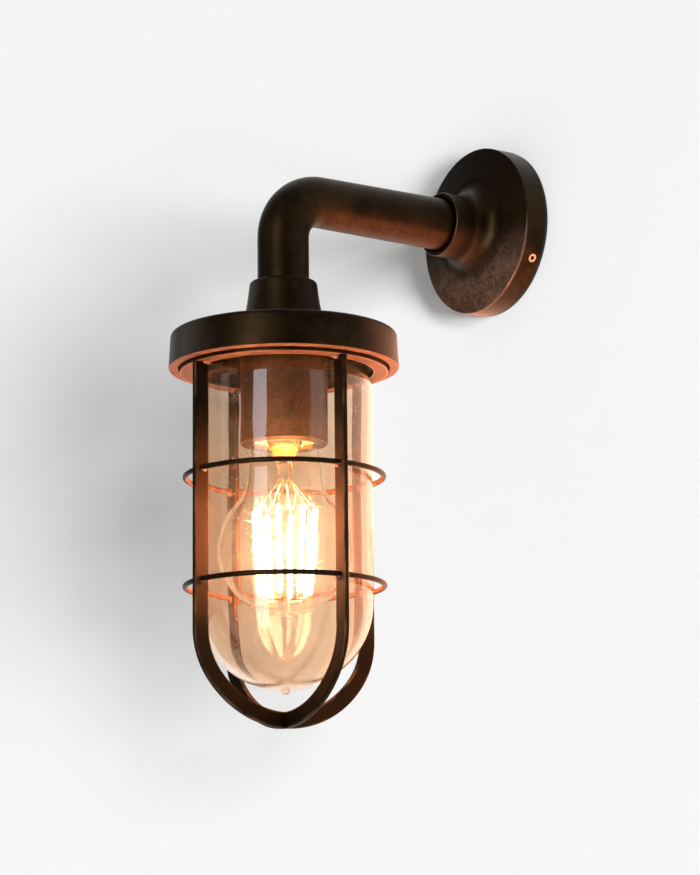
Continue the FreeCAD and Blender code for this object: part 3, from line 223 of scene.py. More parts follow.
wall_corners = [(-ROOM_HALF, WALL_GAP, FLOOR_LEVEL), (ROOM_HALF, WALL_GAP, FLOOR_LEVEL),
                (ROOM_HALF, WALL_GAP, ROOM_HALF), (-ROOM_HALF, WALL_GAP, ROOM_HALF)]
floor_corners = [(-ROOM_HALF, -ROOM_HALF, FLOOR_LEVEL), (ROOM_HALF, -ROOM_HALF, FLOOR_LEVEL),
                 (ROOM_HALF, ROOM_HALF, FLOOR_LEVEL), (-ROOM_HALF, ROOM_HALF, FLOOR_LEVEL)]
wall = put_mesh("room_wall", wall_corners, ONE_FACE)
floor = put_mesh("room_floor", floor_corners, ONE_FACE)
for item in (wall, floor):
    item.data.materials.append(room_material(item.name + "_paint", ROOM_PAINT))
    item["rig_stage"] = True
floor.visible_shadow = False

# The studio's ceiling is lighter than its sides.
SIDES_LEVEL, CEILING_LEVEL = 0.07, 0.36
CEILING_STARTS, CEILING_FULL = 0.10, 0.85
SKY_COLOUR = (1.0, 0.985, 0.96, 1.0)

world = bpy.data.worlds.new("studio")
bpy.context.scene.world = world
world.use_nodes = True
world.node_tree.nodes.clear()
sky = Signal(world.node_tree)
ceiling = sky.add("TexCoord", output="Generated").axes()[2].rise(CEILING_STARTS, CEILING_FULL)
overhead = SIDES_LEVEL + (CEILING_LEVEL - SIDES_LEVEL) * ceiling
sky.add("OutputWorld", {"Surface": sky.add("Background", {"Color": SKY_COLOUR, "Strength": overhead})})


def aim(lamp, place, target):
    """Puts a lamp at a place, turned to a target."""
    lamp.location = place
    lamp.rotation_mode = "QUATERNION"
    lamp.rotation_quaternion = (Vector(target) - Vector(place)).to_track_quat("-Z", "Y")


def new_lamp(name, kind, energy, colour, **settings):
    lamp = bpy.data.objects.new(name, bpy.data.lights.new(name, kind))
    lamp.data.energy = energy
    lamp.data.color = colour
    for setting, value in settings.items():
        setattr(lamp.data, setting, value)
    lamp.visible_camera = False
    lamp.visible_transmission = False
    bpy.context.scene.collection.objects.link(lamp)
    return lamp


WHITE = (1.0, 1.0, 1.0)
# Name, strength, spread in degrees, and heading of each sun.
KEYS = (("key_far", 4.5, 13.0, (-3.1, 1.0, 0.55)),
        ("key_near", 1.4, 8.0, (-2.1, 1.0, -0.05)),
        ("key_low", 0.6, 10.0, (-2.7, 1.0, 1.15)))
room = bpy.data.collections.new("lit_by_the_key")
room.objects.link(wall)
room.objects.link(floor)
for key_name, strength, spread, heading in KEYS:
    key = new_lamp(key_name, "SUN", strength, WHITE, angle=math.radians(spread))
    aim(key, (0.0, 0.0, 0.0), heading)
    key.light_linking.receiver_collection = room

# The lamp's axis stands this far off the wall.
REACH = 0.1242
# Name, degrees to the camera's left, width, height, colour and watts of each pane. The images of
# the first two run down the glass and the skirt, and the third lights the cap alone.
PANES = (
    ("pane_near", 29.0, 0.27, 1.3, (0.93, 0.93, 1.0), 7.6),
    ("pane_side", 80.0, 0.22, 1.3, (1.0, 0.95, 0.90), 0.8),
    ("pane_edge", 113.0, 0.16, 1.3, (0.97, 0.95, 1.0), 2.4),
)
panes = []
PANE_DISTANCE = 0.9
pane_target = Vector((0.0, -REACH, -0.22))
for pane_name, swing, width, height, colour, energy in PANES:
    bearing = CAMERA_TURN - math.radians(swing)
    offset = Vector((math.sin(bearing), -math.cos(bearing), 0.0)) * PANE_DISTANCE
    pane = new_lamp(pane_name, "AREA", energy, colour, shape="RECTANGLE", size=width, size_y=height)
    aim(pane, pane_target + offset, pane_target)
    panes.append(pane)

# The warm disk stands just off the wall, below the arm.
GLOW_ACROSS, GLOW_LEVEL, GLOW_GAP, GLOW_SIZE = 0.03, -0.19, 0.0002, 0.34
glow = new_lamp("wall_glow", "AREA", energy=0.62, colour=(1.0, 0.30, 0.05), shape="DISK", size=GLOW_SIZE)
aim(glow, (GLOW_ACROSS, GLOW_GAP, GLOW_LEVEL), (GLOW_ACROSS, -1.0, GLOW_LEVEL))


# Behind the wall plate: foam gasket, zinc-plated bracket with its earth screw, terminal block
# The bracket is pressed from sheet steel and screwed to the wall; the three-pole block is moulded
# and takes the supply and the light's own wires under its clamp screws.


def surface(made, board, **sockets):
    """Closes a material with the main shader, whose sockets are named with low lines for spaces."""
    inputs = {name.replace("_", " "): value for name, value in sockets.items()}
    shader = board.add("BsdfPrincipled", inputs)
    board.add("OutputMaterial", {"Surface": shader})
    return made


def dress(material, *nodes):
    """Gives CAD nodes their finish."""
    for node in nodes:
        slots = frame["nodes"][node].data.materials
        slots.clear()
        slots.append(material)


def foam():
    """Closed-cell foam: near black, with a fine open grain."""
    made, board, place = new_material("foam")
    cells = place.add("TexVoronoi", {"Vector": place, "Scale": 2200.0})
    colour = board.mix(cells.rise(0.1, 0.6), (0.012, 0.012, 0.012, 1.0), (0.035, 0.035, 0.036, 1.0))
    bump = board.add("Bump", {"Strength": 0.6, "Distance": 0.0002, "Height": cells})
    return surface(made, board, Base_Color=colour, Roughness=0.9, Normal=bump)


def zinc():
    """Zinc plate: pale grey with a faint spangle and soft scratches."""
    made, board, place = new_material("zinc")
    spangle = place.noise(160.0, 4.0)
    scratches = place.noise(2600.0, 2.0, stretch=(1.0, 1.0, 0.08))
    colour = board.mix(spangle.rise(0.35, 0.65), (0.42, 0.42, 0.41, 1.0), (0.62, 0.62, 0.60, 1.0))
    bump = board.add("Bump", {"Strength": 0.15, "Distance": 0.0001, "Height": scratches})
    return surface(made, board, Base_Color=colour, Metallic=1.0, Roughness=0.28 + 0.25 * spangle, Normal=bump)


def bare_brass():
    """Bare brass, dulled by handling: yellow where bright, brown where tarnished."""
    made, board, place = new_material("bare_brass")
    tarnish = place.noise(220.0, 5.0)
    colour = board.mix(tarnish.rise(0.35, 0.75), (0.72, 0.46, 0.20, 1.0), (0.30, 0.17, 0.08, 1.0))
    bump = board.add("Bump", {"Strength": 0.2, "Distance": 0.0001, "Height": place.noise(1500.0)})
    return surface(made, board, Base_Color=colour, Metallic=1.0, Roughness=0.25 + 0.3 * tarnish, Normal=bump)


def rgb(red, green, blue):
    """A colour from the numbers 0 to 255 that a picture of it shows, as linear light."""
    shown = np.array((red, green, blue)) / 255.0
    linear = np.where(shown <= 0.04045, shown / 12.92, ((shown + 0.055) / 1.055) ** 2.4)
    return (*linear.tolist(), 1.0)


def moulded(name, colour, roughness):
    """Moulded plastic: one colour with a very fine grain and slight mottling."""
    made, board, place = new_material(name)
    darker = tuple(0.85 * part for part in colour[:3]) + (1.0,)
    shade = board.mix(place.noise(120.0).rise(0.3, 0.7), darker, colour)
    bump = board.add("Bump", {"Strength": 0.12, "Distance": 0.0001, "Height": place.noise(3500.0, 2.0)})
    return surface(made, board, Base_Color=shade, Roughness=roughness, Normal=bump)


dress(foam(), "wall_gasket")
dress(zinc(), "wall_bracket", "terminal_screws")
brass = bare_brass()
dress(brass, "earth_screw")
dress(moulded("terminal_plastic", rgb(228, 224, 210), 0.45), "terminal_block")


# Wires: live, neutral and earth, in coloured plastic sleeves
# All three run from the terminal block through the bore of the arm, down to the porcelain.

dress(moulded("brown_sleeve", rgb(96, 52, 26), 0.5), "wire_live")
dress(moulded("blue_sleeve", rgb(36, 88, 168), 0.5), "wire_neutral")


def earth_sleeve():
    """Green sleeve with a yellow stripe along one side."""
    made, board, place = new_material("earth_sleeve")
    stripe = place.axes()[0].rise(0.0001, 0.0003)
    colour = board.mix(stripe, rgb(40, 130, 60), rgb(226, 200, 40))
    bump = board.add("Bump", {"Strength": 0.1, "Distance": 0.0001, "Height": place.noise(3000.0, 2.0)})
    return surface(made, board, Base_Color=colour, Roughness=0.5, Normal=bump)


dress(earth_sleeve(), "wire_earth")


# Wall plate: cast and turned, with a raised face, a hollow flare and the arm's collar
# Like all the light's metalwork it is dark brown patina, waxed, and rubbed bright on its edges.

PATINA_DEEP = (0.0095, 0.0054, 0.0018, 1.0)
PATINA_BROWN = (0.0270, 0.0140, 0.0045, 1.0)
PATINA_BLOOM = (0.0600, 0.0360, 0.0180, 1.0)
# The next two are painted light: the bulb's warm glow on the metal, and a pink reflection of the light below
# on the plate's face.
PAINTED_BULB_GLOW = (0.310, 0.100, 0.028, 1.0)
PAINTED_REFLECTION_PINK = (0.205, 0.130, 0.090, 1.0)
COPPER = (0.82, 0.42, 0.24, 1.0)


def patina(name, wear=None, bloom=0.35, painted_light=None, painted_light_colour=PAINTED_BULB_GLOW, broken=1.0, polish=0.0):
    """Cloudy dark browns with a grey bloom and fine pits.

    wear gives the places that are rubbed bright as 0 to 1. The fourth argument gives the places
    painted with the fifth, a colour of painted light: the bulb's warm glow on the metal, or a painted
    reflection; they are also made mottled, matt and less metallic. broken is the share of the wear
    that comes in flecks, bloom the strength of the grey, and polish what waxing takes off the roughness.
    """
    made, board, place = new_material(name)
    cloud = place.noise(38.0, 5.0, 0.6)
    grain = place.noise(700.0, 4.0, 0.65)
    pits = place.noise(2600.0, 2.0)
    colour = board.mix(cloud.rise(0.32, 0.68), PATINA_DEEP, PATINA_BROWN)
    dusty = (place.noise(110.0, 6.0, 0.7) + 0.5 * grain).rise(0.72, 1.0) * bloom
    colour = board.mix(dusty, colour, PATINA_BLOOM)
    metallic, roughness = 0.95, 0.34 - polish + 0.20 * grain + 0.10 * dusty
    if painted_light is not None:
        mottle = 0.5 * place.noise(150.0, 5.0, 0.7).rise(0.30, 0.70) + 0.6 * grain.rise(0.36, 0.64)
        painted_light_share = painted_light(*place.axes()) * (0.40 + mottle)
        colour = board.mix(painted_light_share, colour, painted_light_colour)
        metallic, roughness = metallic - 0.7 * painted_light_share, roughness + 0.15 * painted_light_share
    if wear is not None:
        flecks = (grain + 0.6 * place.noise(190.0, 3.0)).rise(0.70, 0.98)
        rubbed = wear(*place.axes()) * (1.0 - broken + broken * flecks)
        colour = board.mix(rubbed, colour, COPPER)
        metallic, roughness = metallic + 0.05 * rubbed, roughness - 0.20 * rubbed
    bump = board.add("Bump", {"Strength": 0.35, "Distance": 0.00012, "Height": grain + 0.7 * pits})
    return surface(made, board, Base_Color=colour, Metallic=metallic, Roughness=roughness, Normal=bump)


def off_wall_axis(across, up):
    """Distance from the arm's straight axis."""
    return (across * across + up * up) ** 0.5


def off_lamp_axis(across, along):
    """Distance from the lamp's upright axis."""
    return (across * across + (along + REACH) * (along + REACH)) ** 0.5


# Radii from the arm's axis and distances off the wall. A stretch of painted highlight on the rubbed
# edge is a height and its half length, and each other pair is where a change starts and ends.
PLATE_EDGE, PLATE_EDGE_ALONG = 0.0400, -0.0126
COLLAR_EDGE, COLLAR_END = 0.0152, -0.0350
LOW_STRETCH, SIDE_STRETCH = (-0.0300, 0.0055), (-0.0080, 0.0140)
FLARE, FLARE_LOWER_SIDE = (0.0185, 0.0215), (-0.0140, 0.0)
FACE_INSIDE, FACE_FRONT, FACE_LOWER_HALF = (0.018, 0.027), (-0.0122, -0.0112), (-0.024, 0.002)


def plate_wear_and_highlight(across, along, up):
    """Rubbed line round the edge of the face with a painted highlight in two clear stretches, a fainter
    rubbed line on the collar, and a faint painted highlight on the flare's lower side.
    """
    radius = off_wall_axis(across, up)
    highlight_stretches = 0.8 * up.near(*LOW_STRETCH) + 0.16 * up.near(*SIDE_STRETCH)
    face_edge = radius.near(PLATE_EDGE, 0.0003) * along.near(PLATE_EDGE_ALONG, 0.0004) * (0.03 + highlight_stretches)
    collar_edge = radius.near(COLLAR_EDGE, 0.0005) * along.near(COLLAR_END, 0.0005)
    painted_flare_highlight = (1.0 - radius.rise(*FLARE)) * (1.0 - up.rise(*FLARE_LOWER_SIDE))
    return face_edge + 0.2 * collar_edge + 0.05 * painted_flare_highlight


def plate_painted_reflection(across, along, up):
    """The lower half of the face, outside the flare, painted pink as a reflection of the light below it."""
    face = off_wall_axis(across, up).rise(*FACE_INSIDE) * (1.0 - along.rise(*FACE_FRONT))
    return 0.50 * face * (1.0 - up.rise(*FACE_LOWER_HALF))


plate_finish = patina("plate_patina", plate_wear_and_highlight, 0.25, plate_painted_reflection, PAINTED_REFLECTION_PINK, broken=0.15, polish=0.07)
dress(plate_finish, "wall_plate")

# Radii between which a grub screw's socket opens; inside them the socket is painted near black as shade.
SCREW_SOCKET = 0.0386, 0.0398


def bright_screw():
    """Screws whose patina has gone from the rim: bare copper colour round a socket painted near black as its
    shade.
    """
    made, board, place = new_material("bright_screw")
    across, _, up = place.axes()
    tarnish = place.noise(900.0, 4.0)
    colour = board.mix(tarnish.rise(0.4, 0.85), (0.60, 0.40, 0.32, 1.0), (0.30, 0.15, 0.10, 1.0))
    rim_beyond_painted_shade = off_wall_axis(across, up).rise(*SCREW_SOCKET)
    colour = board.mix(rim_beyond_painted_shade, (0.002, 0.001, 0.001, 1.0), colour)
    bump = board.add("Bump", {"Strength": 0.3, "Distance": 0.0001, "Height": place.noise(1800.0)})
    return surface(made, board, Base_Color=colour, Metallic=1.0, Roughness=0.25 + 0.25 * tarnish, Normal=bump)


dress(bright_screw(), "grub_screws")


# Arm: one thick tube, slightly stouter at the wall, with a tight elbow and a drop into the cap
# Its patina is rubbed a little on the outside of the elbow, where it is handled, and its lower side
# is painted with the warm glow of light from below. A locknut holds it in the plate.

ELBOW_ALONG, ELBOW_TOP = (-0.1300, 0.0120), (0.0080, 0.0100)
LOWER_SIDE, RUN_END = (-0.0085, -0.0050), (-0.1120, -0.0980)


def arm_wear(across, along, up):
    """The top of the elbow."""
    return along.near(*ELBOW_ALONG) * up.near(*ELBOW_TOP) * 0.12


def arm_painted_glow(across, along, up):
    """The lower side of the straight run, painted with the warm glow of light from below."""
    return 0.13 * (1.0 - up.rise(*LOWER_SIDE)) * along.rise(*RUN_END)


dress(patina("arm_patina", arm_wear, 0.20, arm_painted_glow), "arm_tube")
dress(brass, "arm_locknut")


# Cap: turned from a casting, with a boss for the arm and a thread inside for the guard's ring
# Both lower corners of its rim are rubbed, and its underside and hollow are painted with the bulb's
# warm glow. A locknut holds it on the arm.

RIM_FOOT, RIM_OUTSIDE, RIM_INSIDE = -0.0818, 0.0523, 0.0483
RIM_UNDERSIDE, BORE, BORE_LEVEL = (-0.08175, -0.08145), (0.0490, 0.0494), (-0.0771, -0.0767)


def cap_wear(across, along, up):
    """The lower corners of the rim."""
    radius = off_lamp_axis(across, along)
    outside = radius.near(RIM_OUTSIDE, 0.0006) * up.near(RIM_FOOT, 0.0006)
    inside = radius.near(RIM_INSIDE, 0.0005) * up.near(RIM_FOOT, 0.0005)
    return 0.25 * outside + 0.4 * inside


def cap_painted_glow(across, along, up):
    """The underside of the rim, and more faintly all that lies inside it: painted warm glow of the bulb."""
    inside = (1.0 - off_lamp_axis(across, along).rise(*BORE)) * (1.0 - up.rise(*BORE_LEVEL))
    return (0.60 * (1.0 - up.rise(*RIM_UNDERSIDE))).larger(0.3 * inside)


dress(patina("cap_patina", cap_wear, 0.20, cap_painted_glow, broken=0.2), "cap")
dress(brass, "cap_locknut")


# Lampholder: a patinated skirt screwed to the cap, with the porcelain body inside it
# The brass shell in the porcelain takes the bulb's screw cap, and a spring contact hangs above it.

SKIRT_FOOT, SKIRT_TOP = -0.1168, -0.0860
SKIRT_CORNER, SKIRT_MOUTH = 0.0195, 0.0141
LIP_UNDERSIDE = -0.1167, -0.1161


def skirt_wear(across, along, up):
    """Both corners of the lip."""
    radius = off_lamp_axis(across, along)
    corners = 0.6 * radius.near(SKIRT_CORNER, 0.0004) + 0.5 * radius.near(SKIRT_MOUTH, 0.0004)
    return corners * up.near(SKIRT_FOOT, 0.0005)


def skirt_painted_glow(across, along, up):
    """Painted warm glow of the bulb on its side, strongest towards the bulb, and almost none under its lip.
    """
    side = 0.26 + 0.22 * (1.0 - up.rise(SKIRT_FOOT, SKIRT_TOP))
    return side * (0.05 + 0.95 * up.rise(*LIP_UNDERSIDE))


def porcelain():
    """White glazed porcelain with a few dark specks."""
    made, board, place = new_material("porcelain")
    specks = place.add("TexVoronoi", {"Vector": place, "Scale": 420.0})
    colour = board.mix(specks.rise(0.03, 0.07), rgb(120, 100, 80), rgb(236, 232, 222))
    bump = board.add("Bump", {"Strength": 0.1, "Distance": 0.0002, "Height": place.noise(300.0)})
    return surface(made, board, Base_Color=colour, Roughness=0.15, Coat_Weight=0.5, Normal=bump)


dress(patina("skirt_patina", skirt_wear, 0.2, skirt_painted_glow, broken=0.3), "lampholder_skirt")
dress(porcelain(), "lampholder_body")
dress(brass, "screw_shell", "holder_screws", "centre_contact")


# Seal: a flat ring cut from black rubber
# It lies on the glass's flange, and the guard's ring presses both up against the cap.

dress(moulded("rubber", (0.018, 0.018, 0.018, 1.0), 0.7), "glass_seal")


# Well glass: thick clear glass, blown in a mould and left with a small pip under its dome
# Its wall wavers slightly, which bends the reflections, and it holds fine seeds.


def closed_forms(name, rings, firsts, lasts, sharp):
    """One mesh of closed forms, each a row of rings of points that one point closes at either end.

    rings is an array of (form, ring, point of the ring, coordinate). The faces point outwards where
    a ring's points run anticlockwise as seen from the first end.
    """
    count, rows, sides = rings.shape[:3]
    points = np.concatenate([rings.reshape(count, -1, 3), firsts[:, None], lasts[:, None]], axis=1)
    index = np.arange(rows * sides).reshape(rows, sides)
    after = np.roll(index, -1, axis=1)
    first, last = np.full(sides, index.size), np.full(sides, index.size + 1)
    quads = np.stack([index[:-1], index[1:], after[1:], after[:-1]], axis=-1).reshape(-1, 4)
    fans = np.vstack([np.stack([first, index[0], after[0]], axis=-1),
                      np.stack([last, after[-1], index[-1]], axis=-1)])
    shift = np.arange(count)[:, None, None] * (index.size + 2)
    faces = (quads + shift).reshape(-1, 4).tolist() + (fans + shift).reshape(-1, 3).tolist()
    return put_mesh(name, points, faces, sharp)


def turned(name, profile, steps, sharp=40.0, sway=None):
    """Surface of revolution about the lamp's axis; its profile starts and ends on the axis.

    A profile point (r, z) at angle a lies at (r sin a, lamp axis - r cos a, z), and sway adds a
    small length to r from a and z. The solid lies on the profile's right.
    """
    rings = profile[1:-1]
    angle = np.linspace(0.0, 2 * np.pi, steps, endpoint=False)
    radius = rings[:, :1] if sway is None else rings[:, :1] + sway(angle, rings[:, 1:])
    level = np.repeat(rings[:, 1:], steps, axis=1)
    body = np.stack([radius * np.sin(angle), -REACH - radius * np.cos(angle), level], axis=-1)
    first, last = (np.array([(0.0, -REACH, profile[end, 1])]) for end in (0, -1))
    return closed_forms(name, body[None], first, last, sharp)


def arc(radius, across, up, start, end, count):
    """Points (r, z) on a circle about (across, up), from one angle to the other, in degrees."""
    angle = np.radians(np.linspace(start, end, count))
    return np.stack([across + radius * np.cos(angle), up + radius * np.sin(angle)], axis=-1)


GLASS_SHADE = (0.86, 0.86, 0.86, 1.0)
DUST_COLOUR = (1.0, 0.88, 0.76, 1.0)
GLASS_IOR = 1.48
TINT_CHANGES = -0.150, -0.095


def clear_glass(name, tint, seeds, haze):
    """Clear glass with a slight tint, or two amber tints of painted warm bulb light that change over from the
    globe up to the flange.

    seeds is the depth of its small bubbles, and haze its share of dust. Its shadow is set apart,
    because clear glass would cast a black one.
    """
    made, board, place = new_material(name)
    if len(tint) == 2:
        tint = board.mix(place.axes()[2].rise(*TINT_CHANGES), *tint)
    bubbles = place.add("TexVoronoi", {"Vector": place, "Scale": 520.0, "Randomness": 1.0})
    spots = (1.0 - bubbles.rise(0.05, 0.22)) * place.noise(60.0, 2.0).rise(0.45, 0.60)
    height = seeds * spots + 0.12 * place.noise(90.0, 2.0)
    bump = board.add("Bump", {"Strength": 0.25, "Distance": 0.0003, "Height": height})
    glass = board.add("BsdfPrincipled", {"Base Color": tint, "Roughness": 0.0, "IOR": GLASS_IOR,
                                         "Transmission Weight": 1.0, "Normal": bump})
    dust = board.add("BsdfTranslucent", {"Color": DUST_COLOUR, "Normal": bump})
    motes = place.add("TexVoronoi", {"Vector": place, "Scale": 1100.0, "Randomness": 1.0})
    specks = (1.0 - motes.rise(0.10, 0.24)) * place.noise(240.0, 2.0).rise(0.52, 0.66)
    cloud = haze * (place.noise(55.0, 5.0, 0.7).rise(0.25, 0.75) + 0.4 + 40.0 * specks)
    solid = board.add("MixShader", {0: cloud, 1: glass, 2: dust})
    passing = board.add("BsdfTransparent", {"Color": GLASS_SHADE})
    shaded = board.add("LightPath", output="Is Shadow Ray")
    board.add("OutputMaterial", {"Surface": board.add("MixShader", {0: shaded, 1: solid, 2: passing})})
    return made


GLASS_TOP, GLASS_FLANGE_FOOT = -0.0772, -0.0808
GLASS_NECK_FOOT, GLASS_SHOULDER, GLASS_DOME = -0.0840, -0.0910, -0.1890
GLASS_FLANGE, GLASS_NECK, GLASS_BARREL, GLASS_DOME_RADIUS = 0.0443, 0.0382, 0.0402, 0.0396
GLASS_WALL = 0.0023
PIP_RADIUS, PIP_HEIGHT = 0.0019, 0.0016
# Where the dome meets the pip, in degrees below the level.
DOME_END = -87.5


def glass_profile():
    """Points (r, z): flange, neck and S-shaped shoulder, barrel and half-round dome, down to the pip.

    The second profile is the inside, from the bottom up. The shoulder's radius follows
    3 s^2 - 2 s^3 over the share s of its height.
    """
    share = np.linspace(0.0, 1.0, 14)
    ease = share * share * (3 - 2 * share)
    shoulder = np.stack([GLASS_NECK + (GLASS_BARREL - GLASS_NECK) * ease,
                         GLASS_NECK_FOOT + (GLASS_SHOULDER - GLASS_NECK_FOOT) * share], axis=-1)
    barrel_level = np.linspace(GLASS_SHOULDER, GLASS_DOME, 40)[1:]
    barrel_share = (GLASS_SHOULDER - barrel_level) / (GLASS_SHOULDER - GLASS_DOME)
    barrel_radius = GLASS_BARREL - (GLASS_BARREL - GLASS_DOME_RADIUS) * barrel_share
    barrel = np.stack([barrel_radius, barrel_level], axis=-1)
    dome = arc(GLASS_DOME_RADIUS, 0.0, GLASS_DOME, 0.0, DOME_END, count=48)[1:]
    outside = np.vstack([[(GLASS_FLANGE, GLASS_TOP), (GLASS_FLANGE, GLASS_FLANGE_FOOT),
                          (GLASS_NECK, GLASS_FLANGE_FOOT)], shoulder, barrel, dome])
    bottom = GLASS_DOME - GLASS_DOME_RADIUS
    drop = np.linspace(1.0, 0.0, 9)[1:]
    pip = np.stack([PIP_RADIUS * np.sqrt(drop * (2 - drop)), bottom - PIP_HEIGHT * (1 - drop ** 2)], axis=-1)
    inner_dome = arc(GLASS_DOME_RADIUS - GLASS_WALL, 0.0, GLASS_DOME, -90.0, 0.0, count=40)
    inner_barrel = barrel[::-1][1:] - (GLASS_WALL, 0.0)
    inner_shoulder = shoulder[::-1] - (GLASS_WALL, 0.0)
    inside = np.vstack([inner_dome, inner_barrel, inner_shoulder, [(GLASS_NECK - GLASS_WALL, GLASS_TOP)]])
    return np.vstack([outside, pip]), inside


# Waves round the glass, turns along a metre of it, start, and depth of each.
SWAYS = ((3, 40, 0.0, 0.00005), (7, -95, 1.0, 0.000025), (13, 160, 0.0, 0.00002))
SWAY_FADE, SWAY_END = 0.02, 0.03
INSIDE_PHASE = 0.9


def glass_sway(angle, level):
    """Sum of slow waves, each depth x sin(count x angle + turns x height + start).

    They fade out at the shoulder and above the pip, so that the flange and the pip stay true.
    """
    from_shoulder = np.clip((GLASS_SHOULDER - level) / SWAY_FADE, 0.0, 1.0)
    from_pip = np.clip((level - GLASS_DOME + SWAY_END) / SWAY_FADE, 0.0, 1.0)
    waves = sum(depth * np.sin(count * angle + turns * level + start) for count, turns, start, depth in SWAYS)
    return from_shoulder * from_pip * waves


def make_well_glass():
    """One closed skin: the inside from the bottom up, and the outside from the flange to the pip."""
    outside, inside = glass_profile()
    phase = np.repeat((INSIDE_PHASE, 0.0), (len(inside) - 1, len(outside) - 1))[:, None]
    return turned("well_glass_blown", np.vstack([inside, outside]), steps=256, sharp=50.0,
                  sway=lambda angle, level: glass_sway(angle + phase, level))


# The well glass's amber tints are painted warm light of the bulb, warmest low down by the globe.
WELL_TINT_AND_PAINTED_GLOW = (0.88, 0.71, 0.55, 1.0), (0.87, 0.74, 0.62, 1.0)
well = make_well_glass()
well.data.materials.append(clear_glass("well_glass", WELL_TINT_AND_PAINTED_GLOW, seeds=1.0, haze=0.0062))
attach(well, "glass")
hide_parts("well_glass_neck", "well_glass_barrel", "well_glass_dome")


# Guard: threaded ring, two hoops of flat bar set edge-on, and two wire rings through the bars
# The hoops are bent to a U and halved into each other where they cross. Everything is brazed.

RING_FOOT = -0.0836
HOOP_RADIUS, HOOP_DEPTH, HOOP_THICKNESS = 0.0485, 0.0073, 0.0022
HOOP_SHOULDER, HOOP_CROWN, HOOP_FOOT = 0.0360, 0.0520, -0.2454
HOOP_EDGE_ROUND = 0.00035
HOOP_MIDDLE = HOOP_RADIUS - HOOP_DEPTH / 2
CROWN_LEVEL = HOOP_FOOT + HOOP_CROWN
BEND_OFFSET = HOOP_RADIUS - HOOP_SHOULDER
BEND_LEVEL = CROWN_LEVEL - math.sqrt((HOOP_CROWN - HOOP_SHOULDER) ** 2 - BEND_OFFSET ** 2)
RING_OUTSIDE, RING_MOUTH, RING_CORNERS = 0.0472, 0.0411, -0.0835
RING_UNDERSIDE = -0.08355, -0.08325
WIRE_INNER_SIDE = HOOP_MIDDLE - 0.0008, HOOP_MIDDLE + 0.0002
# Where the bars' inner sides end, and the middle and half height of the stretch beside the bulb, where
# the bulb's warm glow is painted on them.
INNER_SIDES = 0.0478, 0.0484
BESIDE_BULB = -0.156, 0.055


def ring_wear(across, along, up):
    """Both lower corners."""
    radius = off_lamp_axis(across, along)
    corners = radius.near(RING_OUTSIDE, 0.0005) + radius.near(RING_MOUTH, 0.0005)
    return 0.5 * corners * up.near(RING_CORNERS, 0.0005)


def ring_painted_glow(across, along, up):
    """The underside: painted warm glow of the bulb."""
    return 0.50 * (1.0 - up.rise(*RING_UNDERSIDE))


def wire_painted_glow(across, along, up):
    """The side that the bulb shines on, painted with its warm glow."""
    return 0.6 * (1.0 - off_lamp_axis(across, along).rise(*WIRE_INNER_SIDE))


def hoop_line():
    """Middle line of a hoop as points (u, z), and the outward direction at each of them.

    It is a straight, a bend, the crown, a bend and a straight, each arc with its own centre, and
    outwards is (cos a, sin a) at the arc's angle a.
    """
    straight_steps, bend_steps, crown_steps = 60, 18, 60
    lean = math.degrees(math.atan2(CROWN_LEVEL - BEND_LEVEL, BEND_OFFSET))
    half = HOOP_DEPTH / 2
    side = np.linspace(RING_FOOT, BEND_LEVEL, straight_steps)
    down = np.stack([np.full(straight_steps, -HOOP_MIDDLE), side], axis=-1)
    bend = arc(HOOP_SHOULDER - half, -BEND_OFFSET, BEND_LEVEL, 180.0, 180.0 + lean, bend_steps)
    crown = arc(HOOP_CROWN - half, 0.0, CROWN_LEVEL, 180.0 + lean, 360.0 - lean, crown_steps)
    points = np.vstack([down, bend[1:], crown[1:], bend[::-1][1:] * (-1, 1), down[::-1][1:] * (-1, 1)])
    turns = np.concatenate([np.full(straight_steps, 180.0),
                            np.linspace(180.0, 180.0 + lean, bend_steps)[1:],
                            np.linspace(180.0 + lean, 360.0 - lean, crown_steps)[1:],
                            np.linspace(360.0 - lean, 360.0, bend_steps)[1:],
                            np.full(straight_steps - 1, 360.0)])
    facing = np.radians(turns)
    return points, np.stack([np.cos(facing), np.sin(facing)], axis=-1)


def bar_section():
    """Rounded oblong (out, across) with a wear value for each point: 1 on the corners, 0 on the flats."""
    half_out, half_across = HOOP_DEPTH / 2, HOOP_THICKNESS / 2
    corner = arc(HOOP_EDGE_ROUND, half_out - HOOP_EDGE_ROUND, half_across - HOOP_EDGE_ROUND,
                 0.0, 90.0, count=5)
    first = np.vstack([[(half_out, half_across - 2 * HOOP_EDGE_ROUND)], corner,
                       [(half_out - 3 * HOOP_EDGE_ROUND, half_across)]])
    wear = np.array([0.0, 1.0, 1.0, 1.0, 1.0, 1.0, 0.0])
    quarter = [first, first[::-1] * (-1, 1), first * (-1, -1), first[::-1] * (1, -1)]
    return np.vstack(quarter), np.tile(wear, 4)


def make_hoop(name, turned_sideways):
    """The bar's section carried along the middle line: point + outward x out + sideways x across."""
    line, outward = hoop_line()
    section, wear = bar_section()
    plane = line[:, None, :] + section[None, :, :1] * outward[:, None, :]
    thick = np.broadcast_to(section[None, :, 1], plane.shape[:2])
    along, level = plane[..., 0], plane[..., 1]
    if turned_sideways:
        points = np.stack([along, -REACH - thick, level], axis=-1)
    else:
        points = np.stack([thick, -REACH + along, level], axis=-1)
    count = len(section)
    index = np.arange(points.shape[0] * count).reshape(-1, count)
    low, high = index[:-1], index[1:]
    quads = np.stack([low, high, np.roll(high, -1, axis=1), np.roll(low, -1, axis=1)], axis=-1)
    faces = quads.reshape(-1, 4).tolist() + [index[0].tolist(), index[-1][::-1].tolist()]
    made = put_mesh(name, points, faces)
    attribute = made.data.attributes.new("rubbed", "FLOAT", "POINT")
    attribute.data.foreach_set("value", np.tile(wear, points.shape[0]).astype(np.float32))
    return made


